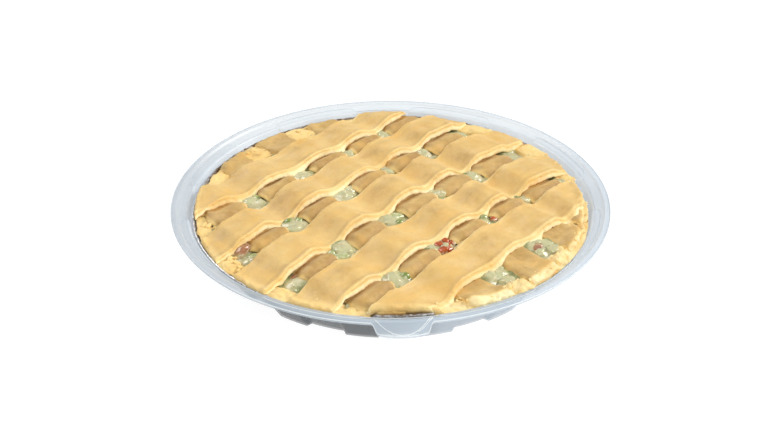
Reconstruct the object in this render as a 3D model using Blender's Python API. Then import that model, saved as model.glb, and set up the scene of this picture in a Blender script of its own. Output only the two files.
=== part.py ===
"""Chicken pot pie with a laid lattice top, in its foil tin and its clear moulded tray.

Metres, +Z up. The origin is the centre of the tray's flat bottom, and the tray's pull tab points along -Y.
The lattice has its own directions from the pie's centre: a runs along the upper strips, b across them.
"""

import math
from typing import NamedTuple

import bmesh
import bpy
import numpy as np

GAP = 0.0003  # left between pieces that touch

# Clear tray
TRAY_RADIUS = 0.169
TRAY_SHEET = 0.0008
TRAY_BASE_RADIUS = 0.1332  # flat bottom, out to the feet
FOOT_COUNT = 16
FOOT_DEPTH = 0.004  # how far the wall stands back between two feet
FOOT_HALF_ANGLE = math.radians(4.8)
FOOT_FLANK_ANGLE = math.radians(1.1)
SHELF_HEIGHT = 0.0301  # the tin's rim hangs just over this shelf
SHELF_INNER_RADIUS = 0.1502
SHELF_OUTER_RADIUS = 0.1545
LEDGE_HEIGHT = 0.0374
LEDGE_INNER_RADIUS = 0.1564
LEDGE_OUTER_RADIUS = 0.1632
FLANGE_HEIGHT = 0.039
FLANGE_CREST_RADIUS = 0.1646
FLANGE_EDGE_HEIGHT = 0.0384
FLANGE_EDGE_DEPTH = 0.0014
TAB_ANGLE = math.radians(-90)
TAB_REACH = 0.0105
TAB_HALF_WIDTH = 0.0215
TAB_FLAT_HALF_WIDTH = 0.0095
TAB_DROP = 0.0024
TAB_STEPS = 12

# Foil tin
PIE_OFFSET = (0.001, 0.0, 0.0)  # the tin sits a little to one side in its tray
TIN_RADIUS = 0.152
TIN_SHEET = 0.0005
TIN_BASE_RADIUS = 0.1185
TIN_SHOULDER_RADIUS = 0.1412
TIN_SHOULDER_HEIGHT = 0.0297
TIN_BEAD_RADIUS = 0.0011
TIN_BEAD_HEIGHT = 0.0316
TIN_SIDES = 54

# Bottom crust
CRUST_THICKNESS = 0.0045
CRUST_RADIUS = 0.1495
CRUST_OVERHANG = 0.0022  # bare stretches of the rim swell out over the tin's bead
CRUST_PRESSED_HEIGHT = 0.0334  # the rim's top under a strip's end
CRUST_BARE_HEIGHT = 0.0362  # the rim's top between two strips' ends
CRUST_EDGE = 0.0008  # the rim's rounded edge
CRUST_RIM_INNER_RADIUS = 0.1375
CRUST_RIM_FOOT = 0.0322  # the rim's inner face stands upright from here
CRUST_THICKEST_ANGLE = math.radians(-40)
CRUST_THINNEST_SHARE = 0.25  # how far the rim swells on the side away from CRUST_THICKEST_ANGLE
CRUST_RIPPLES = (11, 5)  # waves round the rim, one on the other
CRUST_STEPS = (0.001, 0.003)  # it starts to swell this far from a strip's edge, and is at its highest this far
CRUST_SIDES = 48  # besides the points at CRUST_STEPS

# Lattice
LATTICE_TURN = math.radians(45)
STRIP_THICKNESS = 0.0046
STRIP_END_THICKNESS = 0.0034
PRESS_START_RADIUS = 0.132
PRESS_END_RADIUS = 0.145
STRIP_END_RADIUS = 0.1500
UNDER_TOP = 0.0372  # top of the lower strips at the pie's edge
DOME_RISE = 0.004
DOME_RADIUS = 0.150
PILLOW = 0.001  # how far a lower strip swells between two upper ones
SAG_REACH = 0.004  # a sag starts this far in from the edge of the strip below
END_DROP = 0.0037
END_DROP_START = 0.003  # how far past the outermost lower strip it starts to drop
END_DROP_LENGTH = 0.013
BOW_LENGTH = 0.100


class Strip(NamedTuple):
    """A strip of dough. Its middle line is centre + lean * s + bow * (s / BOW_LENGTH)^2 at the place s along it."""

    centre: float
    width: float
    lean: float
    bow: float
    sags: tuple = ()  # how deep it sags into each gap between the strips below


UNDER_STRIPS = (
    Strip(-0.1070, 0.029, 0.025, 0.0050),
    Strip(-0.0530, 0.030, 0.031, 0.0022),
    Strip(0.0046, 0.030, 0.032, -0.0027),
    Strip(0.0475, 0.028, 0.027, 0.0015),
    Strip(0.0965, 0.034, 0.070, -0.0030),
)
OVER_STRIPS = (
    Strip(-0.1027, 0.031, -0.004, -0.0028, (0.0038, 0.0025, 0.0020, 0.0040)),
    Strip(-0.0513, 0.032, -0.020, -0.0040, (0.0046, 0.0040, 0.0039, 0.0062)),
    Strip(0.0027, 0.032, 0.003, -0.0039, (0.0052, 0.0048, 0.0039, 0.0058)),
    Strip(0.0526, 0.029, 0.024, -0.0014, (0.0060, 0.0028, 0.0046, 0.0038)),
    Strip(0.0998, 0.031, 0.0, 0.0029, (0.0040, 0.0020, 0.0023, 0.0032)),
)
# A strip's section, once round: share of the half width, share of the thickness
UNDER_SECTION = (
    (-0.95, 0.0),
    (0.95, 0.0),
    (1.0, 0.42),
    (0.90, 0.76),
    (0.58, 0.95),
    (-0.58, 0.95),
    (-0.90, 0.76),
    (-1.0, 0.42),
)
OVER_SECTION = (
    (-0.95, 0.0),
    (0.0, 0.0),
    (0.95, 0.0),
    (1.0, 0.45),
    (0.94, 0.84),
    (0.78, 1.0),
    (-0.78, 1.0),
    (-0.94, 0.84),
    (-1.0, 0.45),
)
INNER_RING_SHARE = 0.93  # the rings between a strip's two ends stay in this share of its shorter side
# Rings of a strip's end, as shares of the stretch from the last inner ring to the pie's edge, and their heights
END_RINGS = ((0.14, 1.0), (0.28, 1.0), (0.5, 1.0), (0.75, 1.0), (0.97, 1.0), (1.0, 0.72))

# Filling
FILLING_OPEN_HEIGHT = 0.0322  # the sauce in an opening, at the pie's edge
FILLING_DOME_SHARE = 0.75
FILLING_REACH = 0.139  # half the side of the block that it is cut from
FILLING_CUT_BELOW = 0.004
FILLING_CUT_ABOVE = 0.060
EDGE_MARGIN = 0.0012  # it stays tucked down this far past a strip's edge
LUMP_HEIGHT = 0.0034
LUMP_SEED = 7


def smooth(x):
    """0 up to x = 0, 1 from x = 1, and an S curve between them."""
    x = np.clip(x, 0.0, 1.0)
    return x * x * (3 - 2 * x)


def make_material(name, colour, roughness, metallic=0.0):
    material = bpy.data.materials.new(name)
    material.use_nodes = True
    shader = material.node_tree.nodes["Principled BSDF"]
    shader.inputs["Base Color"].default_value = (*colour, 1.0)
    shader.inputs["Roughness"].default_value = roughness
    shader.inputs["Metallic"].default_value = metallic
    return material


def add_object(name, bm, material, location=(0.0, 0.0, 0.0)):
    """Turns a bmesh into a named object with outward faces."""
    bmesh.ops.recalc_face_normals(bm, faces=bm.faces)
    mesh = bpy.data.meshes.new(name)
    bm.to_mesh(mesh)
    bm.free()
    mesh.materials.append(material)
    mesh.shade_smooth()
    mesh.set_sharp_from_angle(angle=math.radians(35))
    piece = bpy.data.objects.new(name, mesh)
    piece.location = location
    bpy.context.scene.collection.objects.link(piece)
    return piece


def skin(rings, flat_caps):
    """A closed skin over rings of points, given as an array of (ring, point, xyz). Its two ends are flat caps,
    or, with flat_caps off, the first and the last ring each run to a point in their middle."""
    bm = bmesh.new()
    rows = [[bm.verts.new(point) for point in ring] for ring in rings]
    count = len(rows[0])
    for low, high in zip(rows, rows[1:]):
        for i in range(count):
            j = (i + 1) % count
            bm.faces.new((low[i], low[j], high[j], high[i]))
    for row in (rows[0], rows[-1]):
        if flat_caps:
            bm.faces.new(row)
        else:
            middle = bm.verts.new(np.mean([v.co for v in row], axis=0))
            for i in range(count):
                bm.faces.new((row[i], row[(i + 1) % count], middle))
    return bm


def turned(angles, section):
    """Rings round the Z axis from a section: a list of (radius, height), each a number or one value per angle."""
    rings = np.empty((len(section), len(angles), 3))
    for ring, (radius, height) in zip(rings, section):
        ring[:, 0] = radius * np.cos(angles)
        ring[:, 1] = radius * np.sin(angles)
        ring[:, 2] = height
    return rings


# ---- Clear tray ----


def tray_angles():
    """Six angles for each foot, and a few more along the tab's curved sides."""
    step = 2 * math.pi / FOOT_COUNT
    corner = FOOT_HALF_ANGLE + FOOT_FLANK_ANGLE
    one_foot = (-corner, -FOOT_HALF_ANGLE, 0.0, FOOT_HALF_ANGLE, corner, step / 2)
    feet = [TAB_ANGLE + step * (n + 0.5) + a for n in range(FOOT_COUNT) for a in one_foot]
    sides = np.linspace(-TAB_HALF_WIDTH, TAB_HALF_WIDTH, TAB_STEPS) / TRAY_RADIUS
    near_tab = TAB_HALF_WIDTH / TRAY_RADIUS + FOOT_FLANK_ANGLE / 2
    turn = 2 * math.pi
    kept = [a for a in feet if abs((a - TAB_ANGLE + math.pi) % turn - math.pi) > near_tab]
    return np.array(sorted((a - TAB_ANGLE) % turn for a in [*kept, *(TAB_ANGLE + sides)])) + TAB_ANGLE


def foot_share(angles):
    """1 on a foot, 0 between two feet, with a short slanted flank."""
    step = 2 * math.pi / FOOT_COUNT
    from_foot = np.abs((angles - TAB_ANGLE) % step - step / 2)
    return np.clip((FOOT_HALF_ANGLE + FOOT_FLANK_ANGLE - from_foot) / FOOT_FLANK_ANGLE, 0, 1)


def tab_share(angles):
    """1 along the tab's straight front, 0 away from the tab, with an S curve down each side."""
    from_middle = np.abs((angles - TAB_ANGLE + math.pi) % (2 * math.pi) - math.pi) * TRAY_RADIUS
    return smooth((TAB_HALF_WIDTH - from_middle) / (TAB_HALF_WIDTH - TAB_FLAT_HALF_WIDTH))


def make_tray(material):
    """A fluted bowl that stands on sixteen feet, with a shelf for the tin, a ledge, a flange and a pull tab."""
    angles = tray_angles()
    base = TRAY_BASE_RADIUS - FOOT_DEPTH * (1 - foot_share(angles))
    tab = tab_share(angles)
    edge = TRAY_RADIUS + TAB_REACH * tab
    edge_height = FLANGE_EDGE_HEIGHT - TAB_DROP * tab
    section = (
        (base, 0.0),
        (SHELF_INNER_RADIUS + TRAY_SHEET, SHELF_HEIGHT - TRAY_SHEET),
        (SHELF_OUTER_RADIUS + TRAY_SHEET, SHELF_HEIGHT - TRAY_SHEET),
        (LEDGE_INNER_RADIUS + TRAY_SHEET, LEDGE_HEIGHT - TRAY_SHEET),
        (LEDGE_OUTER_RADIUS + TRAY_SHEET / 2, LEDGE_HEIGHT - TRAY_SHEET),
        (FLANGE_CREST_RADIUS + TRAY_SHEET / 2, FLANGE_HEIGHT - TRAY_SHEET),
        (edge - TRAY_SHEET / 2, edge_height - FLANGE_EDGE_DEPTH),
        (edge, edge_height),
        (TRAY_RADIUS - 2 * TRAY_SHEET, FLANGE_HEIGHT),
        (FLANGE_CREST_RADIUS, FLANGE_HEIGHT),
        (LEDGE_OUTER_RADIUS, LEDGE_HEIGHT),
        (LEDGE_INNER_RADIUS, LEDGE_HEIGHT),
        (SHELF_OUTER_RADIUS, SHELF_HEIGHT),
        (SHELF_INNER_RADIUS, SHELF_HEIGHT),
        (base - 1.2 * TRAY_SHEET, TRAY_SHEET),
    )
    add_object("tray", skin(turned(angles, section), flat_caps=False), material)


# ---- Foil tin ----


def even_angles(count):
    return np.arange(count) * 2 * math.pi / count


def make_tin(material):
    """A tapered foil dish with a flat rim that ends in a rolled bead."""
    floor = TRAY_SHEET + GAP
    bead_middle = TIN_RADIUS - TIN_BEAD_RADIUS
    bead = [
        (bead_middle + TIN_BEAD_RADIUS * math.cos(a), TIN_BEAD_HEIGHT + TIN_BEAD_RADIUS * math.sin(a))
        for a in np.radians((-90, -30, 30, 90, 150))
    ]
    section = (
        (TIN_BASE_RADIUS, floor),
        (TIN_SHOULDER_RADIUS, TIN_SHOULDER_HEIGHT),
        (bead_middle - TIN_BEAD_RADIUS, TIN_BEAD_HEIGHT - TIN_BEAD_RADIUS),
        *bead,
        (bead_middle - TIN_BEAD_RADIUS, TIN_BEAD_HEIGHT - TIN_BEAD_RADIUS + TIN_SHEET),
        (TIN_SHOULDER_RADIUS - TIN_SHEET / 2, TIN_SHOULDER_HEIGHT + TIN_SHEET),
        (TIN_BASE_RADIUS - TIN_SHEET / 2, floor + TIN_SHEET),
    )
    rings = turned(even_angles(TIN_SIDES), section)
    add_object("tin", skin(rings, flat_caps=False), material, PIE_OFFSET)


# ---- Lattice surfaces, as functions of a and b ----


def dome(a, b):
    return DOME_RISE * np.clip(1 - (a * a + b * b) / DOME_RADIUS**2, 0, 1)


def thickness(a, b):
    """The strips' thickness: pressed thinner towards the rim."""
    press = smooth((np.hypot(a, b) - PRESS_START_RADIUS) / (PRESS_END_RADIUS - PRESS_START_RADIUS))
    return STRIP_THICKNESS + (STRIP_END_THICKNESS - STRIP_THICKNESS) * press


def hollow(x, low, high):
    """A cosine wave that is 0 at low and at high and outside them, and 1 midway between."""
    share = np.clip((x - low) / (high - low), 0, 1)
    return (1 - np.cos(2 * math.pi * share)) / 2


def middle(strip, along):
    return strip.centre + strip.lean * along + strip.bow * (along / BOW_LENGTH) ** 2


def gaps_between(strips, along):
    """(low edge, high edge) of each gap between neighbouring strips, at a place along them."""
    return [
        (middle(one, along) + one.width / 2, middle(two, along) - two.width / 2)
        for one, two in zip(strips, strips[1:])
    ]


def under_bottom(a, b):
    """Bottom of the lower strips: domed, and swollen up a little between the upper strips."""
    swell = sum(hollow(b, low, high) for low, high in gaps_between(OVER_STRIPS, a))
    return UNDER_TOP + dome(a, b) - thickness(a, b) + PILLOW * swell


def over_bottom(a, b, sags):
    """Bottom of an upper strip: it lies on the lower strips, sags between them, and drops to the rim at its ends."""
    sag = sum(
        depth * hollow(a, low - SAG_REACH, high + SAG_REACH)
        for depth, (low, high) in zip(sags, gaps_between(UNDER_STRIPS, b))
    )
    first, last = UNDER_STRIPS[0], UNDER_STRIPS[-1]
    before = middle(first, b) - first.width / 2 - END_DROP_START - a
    after = a - middle(last, b) - last.width / 2 - END_DROP_START
    drop = END_DROP * (smooth(before / END_DROP_LENGTH) + smooth(after / END_DROP_LENGTH))
    return UNDER_TOP + dome(a, b) + 1.3 * GAP - sag - drop


# ---- Lattice strips ----


def stations(strip, offset, crossed, insets, in_gap):
    """Rows of places along a strip, one place for each offset from its middle line: at each inset from both edges
    of every strip it crosses, and in_gap rows in each gap between them."""
    across = [middle(strip, middle(other, strip.centre)) + offset for other in crossed]
    edges = [
        [middle(other, place) + side * (other.width / 2 - inset) for side in (-1, 1) for inset in insets]
        for other, place in zip(crossed, across)
    ]
    rows = [row for pair in edges for row in pair]
    for one, two in zip(crossed, crossed[1:]):
        low = middle(one, middle(strip, one.centre) + offset) + one.width / 2
        high = middle(two, middle(strip, two.centre) + offset) - two.width / 2
        rows += [low + (high - low) * share for share in np.linspace(0, 1, in_gap + 2)[1:-1]]
    return sorted(rows, key=np.mean)


def strip_rings(strip, section, crossed, insets, in_gap, bottom, along_a):
    """Rings across a strip from one end to the other. Each end follows the pie's round edge."""
    offset, level = np.array(section).T * ((strip.width / 2,), (1.0,))
    nearest = abs(strip.centre) + strip.width / 2
    reach = math.sqrt(STRIP_END_RADIUS**2 - nearest**2) * INNER_RING_SHARE
    inner = [row for row in stations(strip, offset, crossed, insets, in_gap) if np.abs(row).max() < reach]
    rows = [(row, middle(strip, row) + offset, level) for row in inner]
    for start, sign in ((inner[0], -1), (inner[-1], 1)):
        across_start = middle(strip, start) + offset
        across_end = middle(strip, sign * math.sqrt(STRIP_END_RADIUS**2 - strip.centre**2)) + offset
        end = sign * np.sqrt(STRIP_END_RADIUS**2 - across_end**2)
        for share, height in END_RINGS:
            row = (start + (end - start) * share, across_start + (across_end - across_start) * share, level * height)
            rows.insert(0 if sign < 0 else len(rows), row)
    along, across, level = (np.array(v) for v in zip(*rows))
    a, b = (along, across) if along_a else (across, along)
    return lattice_point(a, b, bottom(a, b) + level * thickness(a, b))


def lattice_point(a, b, z):
    cos, sin = math.cos(LATTICE_TURN), math.sin(LATTICE_TURN)
    return np.stack([a * cos - b * sin, a * sin + b * cos, z], axis=-1)


def under_rings(strip):
    return strip_rings(strip, UNDER_SECTION, OVER_STRIPS, (0.0,), 1, under_bottom, along_a=False)


def over_rings(strip):
    def bottom(a, b):
        return over_bottom(a, b, strip.sags)

    return strip_rings(strip, OVER_SECTION, UNDER_STRIPS, (0.0, SAG_REACH), 3, bottom, along_a=True)


def make_strips(material):
    for number, strip in enumerate(UNDER_STRIPS, 1):
        add_object(f"under_strip_{number}", skin(under_rings(strip), flat_caps=True), material, PIE_OFFSET)
    for number, strip in enumerate(OVER_STRIPS, 1):
        add_object(f"over_strip_{number}", skin(over_rings(strip), flat_caps=True), material, PIE_OFFSET)


# ---- Bottom crust ----


def to_lattice(angles, radius):
    """a and b of points on a circle."""
    return radius * np.cos(angles - LATTICE_TURN), radius * np.sin(angles - LATTICE_TURN)


def clear_of_strips(angles):
    """How far the rim is from the nearest strip's edge, at its inner or outer side, whichever is less."""
    clear = np.full(len(angles), np.inf)
    for radius in (CRUST_RIM_INNER_RADIUS, CRUST_RADIUS, CRUST_RADIUS + CRUST_OVERHANG):
        a, b = to_lattice(angles, radius)
        for across, along, strips in ((a, b, UNDER_STRIPS), (b, a, OVER_STRIPS)):
            for strip in strips:
                clear = np.minimum(clear, np.abs(across - middle(strip, along)) - strip.width / 2)
    return clear


def crust_angles():
    """Angles for the bottom crust: evenly spaced ones, and those where its rim starts and ends to swell."""
    fine = even_angles(3600)
    clear = clear_of_strips(fine)
    steps = [angle for step in CRUST_STEPS for angle in fine[(clear < step) != (np.roll(clear, -1) < step)]]
    spacing = CRUST_STEPS[1] / CRUST_RADIUS
    even = [angle for angle in even_angles(CRUST_SIDES) if np.abs(np.array(steps) - angle).min() > spacing]
    return np.array(sorted([*steps, *even]))


def crust_inside(height):
    """Radius of the bottom crust's inner face at a height."""
    share = (height - TRAY_SHEET) / (TIN_SHOULDER_HEIGHT - TRAY_SHEET)
    return TIN_BASE_RADIUS + (TIN_SHOULDER_RADIUS - TIN_BASE_RADIUS) * share - 1.25 * CRUST_THICKNESS


def crust_floor():
    return TRAY_SHEET + GAP + TIN_SHEET + GAP


def make_bottom_crust(material):
    """A dough bowl in the tin. Its rim lies flat on the tin's and swells up and out where no strip presses on it."""
    angles = crust_angles()
    start, end = CRUST_STEPS
    thick = CRUST_THINNEST_SHARE + (1 - CRUST_THINNEST_SHARE) * (1 + np.cos(angles - CRUST_THICKEST_ANGLE)) / 2
    ripple = 0.5 + 0.5 * np.sin(CRUST_RIPPLES[0] * angles) * np.cos(CRUST_RIPPLES[1] * angles)
    swell = smooth((clear_of_strips(angles) - start) / (end - start)) * thick * (0.6 + 0.4 * ripple)
    top = CRUST_PRESSED_HEIGHT + (CRUST_BARE_HEIGHT - CRUST_PRESSED_HEIGHT) * swell
    out = CRUST_RADIUS + CRUST_OVERHANG * swell
    floor = crust_floor()
    lip = TIN_BEAD_HEIGHT + TIN_BEAD_RADIUS + GAP
    section = (
        (TIN_BASE_RADIUS - 6 * GAP, floor),
        (TIN_SHOULDER_RADIUS - 4 * GAP, TIN_SHOULDER_HEIGHT + TIN_SHEET + GAP),
        (TIN_RADIUS - 2 * TIN_BEAD_RADIUS - 2 * GAP, lip),
        (out, lip),
        (out, top - CRUST_EDGE * (0.25 + 0.75 * swell)),
        (out - 2 * CRUST_EDGE, top),
        (CRUST_RIM_INNER_RADIUS, top - CRUST_EDGE / 2),
        (CRUST_RIM_INNER_RADIUS, CRUST_RIM_FOOT),
        (crust_inside(floor + CRUST_THICKNESS), floor + CRUST_THICKNESS),
    )
    add_object("bottom_crust", skin(turned(angles, section), flat_caps=False), material, PIE_OFFSET)


# ---- Filling ----


def filling_lines(strips, along):
    """Grid lines that follow the strips, at places along them: one just outside each edge, three in each gap
    and three outside the outermost strips."""
    edges = [
        (middle(strip, along) - strip.width / 2 - EDGE_MARGIN, middle(strip, along) + strip.width / 2 + EDGE_MARGIN)
        for strip in strips
    ]
    outer = FILLING_REACH + 0 * along
    lines = [-outer, edges[0][0] - END_DROP_LENGTH, edges[0][0] - END_DROP_LENGTH / 2]
    for one, two in zip(edges, edges[1:]):
        lines += [one[0], one[1]]
        lines += [one[1] + (two[0] - one[1]) * share for share in (0.25, 0.5, 0.75)]
    lines += [*edges[-1], edges[-1][1] + END_DROP_LENGTH / 2, edges[-1][1] + END_DROP_LENGTH, outer]
    return np.array(lines)


def strip_over(a, b, margin):
    """The lowest strip bottom over each point, and infinity where no strip is over it."""
    lowest = np.full(a.shape, np.inf)
    for strip in UNDER_STRIPS:
        covered = np.abs(a - middle(strip, b)) < strip.width / 2 + margin
        lowest = np.where(covered, np.minimum(lowest, under_bottom(a, b)), lowest)
    for strip in OVER_STRIPS:
        covered = np.abs(b - middle(strip, a)) < strip.width / 2 + margin
        lowest = np.where(covered, np.minimum(lowest, over_bottom(a, b, strip.sags)), lowest)
    return lowest


def make_filling(material):
    """Sauce, vegetables and meat: it fills the bottom crust, backs the strips and swells in lumps in the openings."""
    count = len(filling_lines(UNDER_STRIPS, 0.0))
    a = b = np.zeros((count, count))
    for _ in range(4):  # both sets of lines curve, so their crossings are found in a few rounds
        a = np.einsum("iij->ij", filling_lines(UNDER_STRIPS, b))
        b = np.einsum("jij->ij", filling_lines(OVER_STRIPS, a))
    rng = np.random.default_rng(LUMP_SEED)
    lumps = LUMP_HEIGHT * rng.uniform(0.1, 1.0, a.shape)
    sauce = FILLING_OPEN_HEIGHT + FILLING_DOME_SHARE * dome(a, b)
    covering = strip_over(a, b, EDGE_MARGIN + GAP)
    top = np.where(np.isinf(covering), sauce + lumps, np.minimum(covering - 4 * GAP, sauce + LUMP_HEIGHT))
    x, y, top = np.moveaxis(lattice_point(a, b, top), -1, 0)

    block = bmesh.new()
    rows, columns = a.shape
    upper = [[block.verts.new((x[i, j], y[i, j], top[i, j])) for j in range(columns)] for i in range(rows)]
    lower = [
        [block.verts.new((x[i, j], y[i, j], FILLING_CUT_BELOW)) for j in range(columns)] for i in range(rows)
    ]
    for i in range(rows - 1):
        for j in range(columns - 1):
            for sheet in (upper, lower):
                block.faces.new((sheet[i][j], sheet[i + 1][j], sheet[i + 1][j + 1], sheet[i][j + 1]))
    border = [(i, 0) for i in range(rows)] + [(rows - 1, j) for j in range(1, columns)]
    border += [(i, columns - 1) for i in range(rows - 2, -1, -1)] + [(0, j) for j in range(columns - 2, 0, -1)]
    for (i, j), (k, m) in zip(border, border[1:] + border[:1]):
        block.faces.new((upper[i][j], upper[k][m], lower[k][m], lower[i][j]))
    filling = add_object("filling", block, material, PIE_OFFSET)

    floor = crust_floor() + CRUST_THICKNESS + GAP
    section = (
        (crust_inside(floor) - 2 * GAP, floor),
        (CRUST_RIM_INNER_RADIUS - 2 * GAP, CRUST_RIM_FOOT),
        (CRUST_RIM_INNER_RADIUS - 2 * GAP, FILLING_CUT_ABOVE),
    )
    cutter = add_object("filling_outline", skin(turned(crust_angles(), section), True), material, PIE_OFFSET)
    cutter.hide_render = True
    cutter.display_type = "WIRE"
    cut = filling.modifiers.new("to the bottom crust", "BOOLEAN")
    cut.operation = "INTERSECT"
    cut.object = cutter


def main():
    for thing in list(bpy.data.objects):
        bpy.data.objects.remove(thing)
    clear_plastic = make_material("clear_plastic", (0.72, 0.78, 0.84), 0.15)
    foil = make_material("foil", (0.80, 0.80, 0.80), 0.30, 1.0)
    baked_dough = make_material("baked_dough", (0.78, 0.52, 0.25), 0.60)
    pale_dough = make_material("pale_dough", (0.88, 0.73, 0.42), 0.65)
    sauce = make_material("cream_sauce", (0.72, 0.72, 0.52), 0.30)
    make_tray(clear_plastic)
    make_tin(foil)
    make_bottom_crust(pale_dough)
    make_filling(sauce)
    make_strips(baked_dough)


main()
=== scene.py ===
import math

import bpy
import numpy as np
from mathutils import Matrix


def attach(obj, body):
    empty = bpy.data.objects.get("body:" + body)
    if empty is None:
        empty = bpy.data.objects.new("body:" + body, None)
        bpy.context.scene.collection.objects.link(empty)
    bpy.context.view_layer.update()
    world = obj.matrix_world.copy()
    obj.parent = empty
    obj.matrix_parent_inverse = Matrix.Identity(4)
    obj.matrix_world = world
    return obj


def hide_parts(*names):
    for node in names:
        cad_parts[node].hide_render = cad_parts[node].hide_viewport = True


# Chicken pot pie with a laid lattice top, in its foil tin and its clear tray. Metres, +Z up.
# The pie's own directions, from its centre: a runs along the upper strips, b across them.

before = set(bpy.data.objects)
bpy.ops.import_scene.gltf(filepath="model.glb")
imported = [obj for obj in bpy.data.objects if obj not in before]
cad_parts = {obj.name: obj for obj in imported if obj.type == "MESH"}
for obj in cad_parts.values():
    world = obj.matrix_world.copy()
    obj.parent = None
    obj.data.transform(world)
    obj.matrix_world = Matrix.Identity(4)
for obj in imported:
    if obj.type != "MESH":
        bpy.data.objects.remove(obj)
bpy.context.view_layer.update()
print("frame loaded")

mm = 0.001
touchGap = 0.3 * mm


# Numbers on whole arrays

def smooth(x):
    # 0 up to x = 0, 1 from x = 1, and an S curve between them
    x = np.clip(x, 0, 1)
    return x * x * (3 - 2 * x)


def cellNumbers(i, j, k, seed):
    # a fixed number from -1 to 1 for each whole-number cell, by mixing the bits of its three numbers
    n = i * 73856093 ^ j * 19349663 ^ k * 83492791 ^ (seed + 11) * 2654435761
    n = (n ^ n >> 15) * 2246822519 & 0xffffffff
    n = (n ^ n >> 13) * 3266489917 & 0xffffffff
    return ((n ^ n >> 16) & 0xffffff) / 0x7fffff - 1


def noise(points, size, seed, octaves=1):
    # soft noise, about -1 to 1: the numbers at the corners of cells of that size, blended by S curves.
    # Each octave adds noise of half the size and half the strength.
    total = 0
    for octave in range(octaves):
        at = points / size * 2 ** octave
        cell = np.floor(at).astype(np.int64)
        share = smooth(at - cell)
        x, y, z = np.moveaxis(share, -1, 0)
        i, j, k = np.moveaxis(cell, -1, 0)
        value = 0
        for di, wx in ((0, 1 - x), (1, x)):
            for dj, wy in ((0, 1 - y), (1, y)):
                for dk, wz in ((0, 1 - z), (1, z)):
                    value = value + wx * wy * wz * cellNumbers(i + di, j + dj, k + dk, seed + 31 * octave)
        total = total + value * 0.5 ** octave
    return total


def stacked(x, y, z):
    return np.stack(np.broadcast_arrays(x, y, z), axis=-1).astype(float)


def gridFaces(rows, columns):
    # the four corners of each face between neighbouring rows and columns, which go once round
    row = np.arange(rows - 1)[:, None] * columns
    column = np.arange(columns)[None, :]
    nextOne = (column + 1) % columns
    corners = (row + column, row + nextOne, row + columns + nextOne, row + columns + column)
    return np.stack(corners, axis=-1).reshape(-1, 4)


def fanFaces(ring, pole):
    # triangles from a ring of corners to one point
    return np.stack([ring, np.roll(ring, -1), np.full(len(ring), pole)], axis=-1)


def gridNormals(points):
    # the direction that faces away from a grid of points whose columns go once round
    along = np.gradient(points, axis=0)
    across = np.roll(points, -1, axis=1) - np.roll(points, 1, axis=1)
    normals = np.cross(across, along)
    return normals / np.maximum(np.linalg.norm(normals, axis=-1, keepdims=True), 1e-12)


def evenSection(corners, count):
    # a closed outline, drawn finely, as evenly spaced points
    closed = np.concatenate([corners, corners[:1]])
    length = np.concatenate([[0], np.cumsum(np.linalg.norm(np.diff(closed, axis=0), axis=1))])
    at = np.arange(count) / count * length[-1]
    return np.stack([np.interp(at, length, closed[:, n]) for n in (0, 1)], axis=-1)


def roundedRows(rows, reach, steps=4):
    # a section of (radius, height) rows with each inner corner turned into a short curve: a quadratic
    # curve that starts and ends at most reach from the corner
    made = [rows[0]]
    for before, corner, after in zip(rows, rows[1:], rows[2:]):
        ends = []
        for other in (before, after):
            away = np.linalg.norm(other - corner, axis=-1, keepdims=True)
            ends.append(corner + (other - corner) * np.minimum(reach / np.maximum(away, 1e-9), 0.45))
        for t in np.linspace(0, 1, steps):
            made.append((1 - t) ** 2 * ends[0] + 2 * t * (1 - t) * corner + t * t * ends[1])
    return made + [rows[-1]]


def filledRows(rows, longest):
    # more rows between two that lie further apart than longest
    made = [rows[0]]
    for one, two in zip(rows, rows[1:]):
        parts = max(1, math.ceil(np.linalg.norm(two - one, axis=-1).mean() / longest))
        made += [one + (two - one) * n / parts for n in range(1, parts + 1)]
    return np.stack(made)


def addPiece(name, points, faces, material, values=None, replaced=()):
    # faces is a list of arrays of corner numbers; each array holds faces of one number of corners
    triangles = np.concatenate([f[:, [0, n, n + 1]] for f in faces for n in range(1, f.shape[1] - 1)])
    p, q, r = (points[triangles[:, n]] for n in range(3))
    if np.einsum("ij,ij->", p, np.cross(q, r)) < 0:  # inside out
        faces = [f[:, ::-1] for f in faces]
    corners = np.concatenate([f.ravel() for f in faces])
    sizes = np.concatenate([np.full(len(f), f.shape[1]) for f in faces])
    mesh = bpy.data.meshes.new(name)
    mesh.vertices.add(len(points))
    mesh.vertices.foreach_set("co", points.astype(np.float32).ravel())
    mesh.loops.add(len(corners))
    mesh.loops.foreach_set("vertex_index", corners.astype(np.int32))
    mesh.polygons.add(len(sizes))
    mesh.polygons.foreach_set("loop_start", (np.cumsum(sizes) - sizes).astype(np.int32))
    mesh.polygons.foreach_set("use_smooth", np.ones(len(sizes), bool))
    mesh.update(calc_edges=True)
    for key, value in (values or {}).items():
        kind, field = ("FLOAT_VECTOR", "vector") if value.ndim == 2 else ("FLOAT", "value")
        mesh.attributes.new(key, kind, "POINT").data.foreach_set(field, value.astype(np.float32).ravel())
    mesh.materials.append(material)
    piece = bpy.data.objects.new(name, mesh)
    bpy.context.scene.collection.objects.link(piece)
    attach(piece, "root")
    if replaced:
        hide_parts(*replaced)
    return piece


# Materials

def colour(hexValue):
    # an sRGB hex value as linear red, green, blue and alpha
    channels = [int(hexValue[n:n + 2], 16) / 255 for n in (1, 3, 5)]
    linear = [c / 12.92 if c <= 0.04045 else ((c + 0.055) / 1.055) ** 2.4 for c in channels]
    return (*linear, 1.0)


def newMaterial(name):
    material = bpy.data.materials.new(name)
    material.use_nodes = True
    material.node_tree.nodes.clear()
    return material


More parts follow.
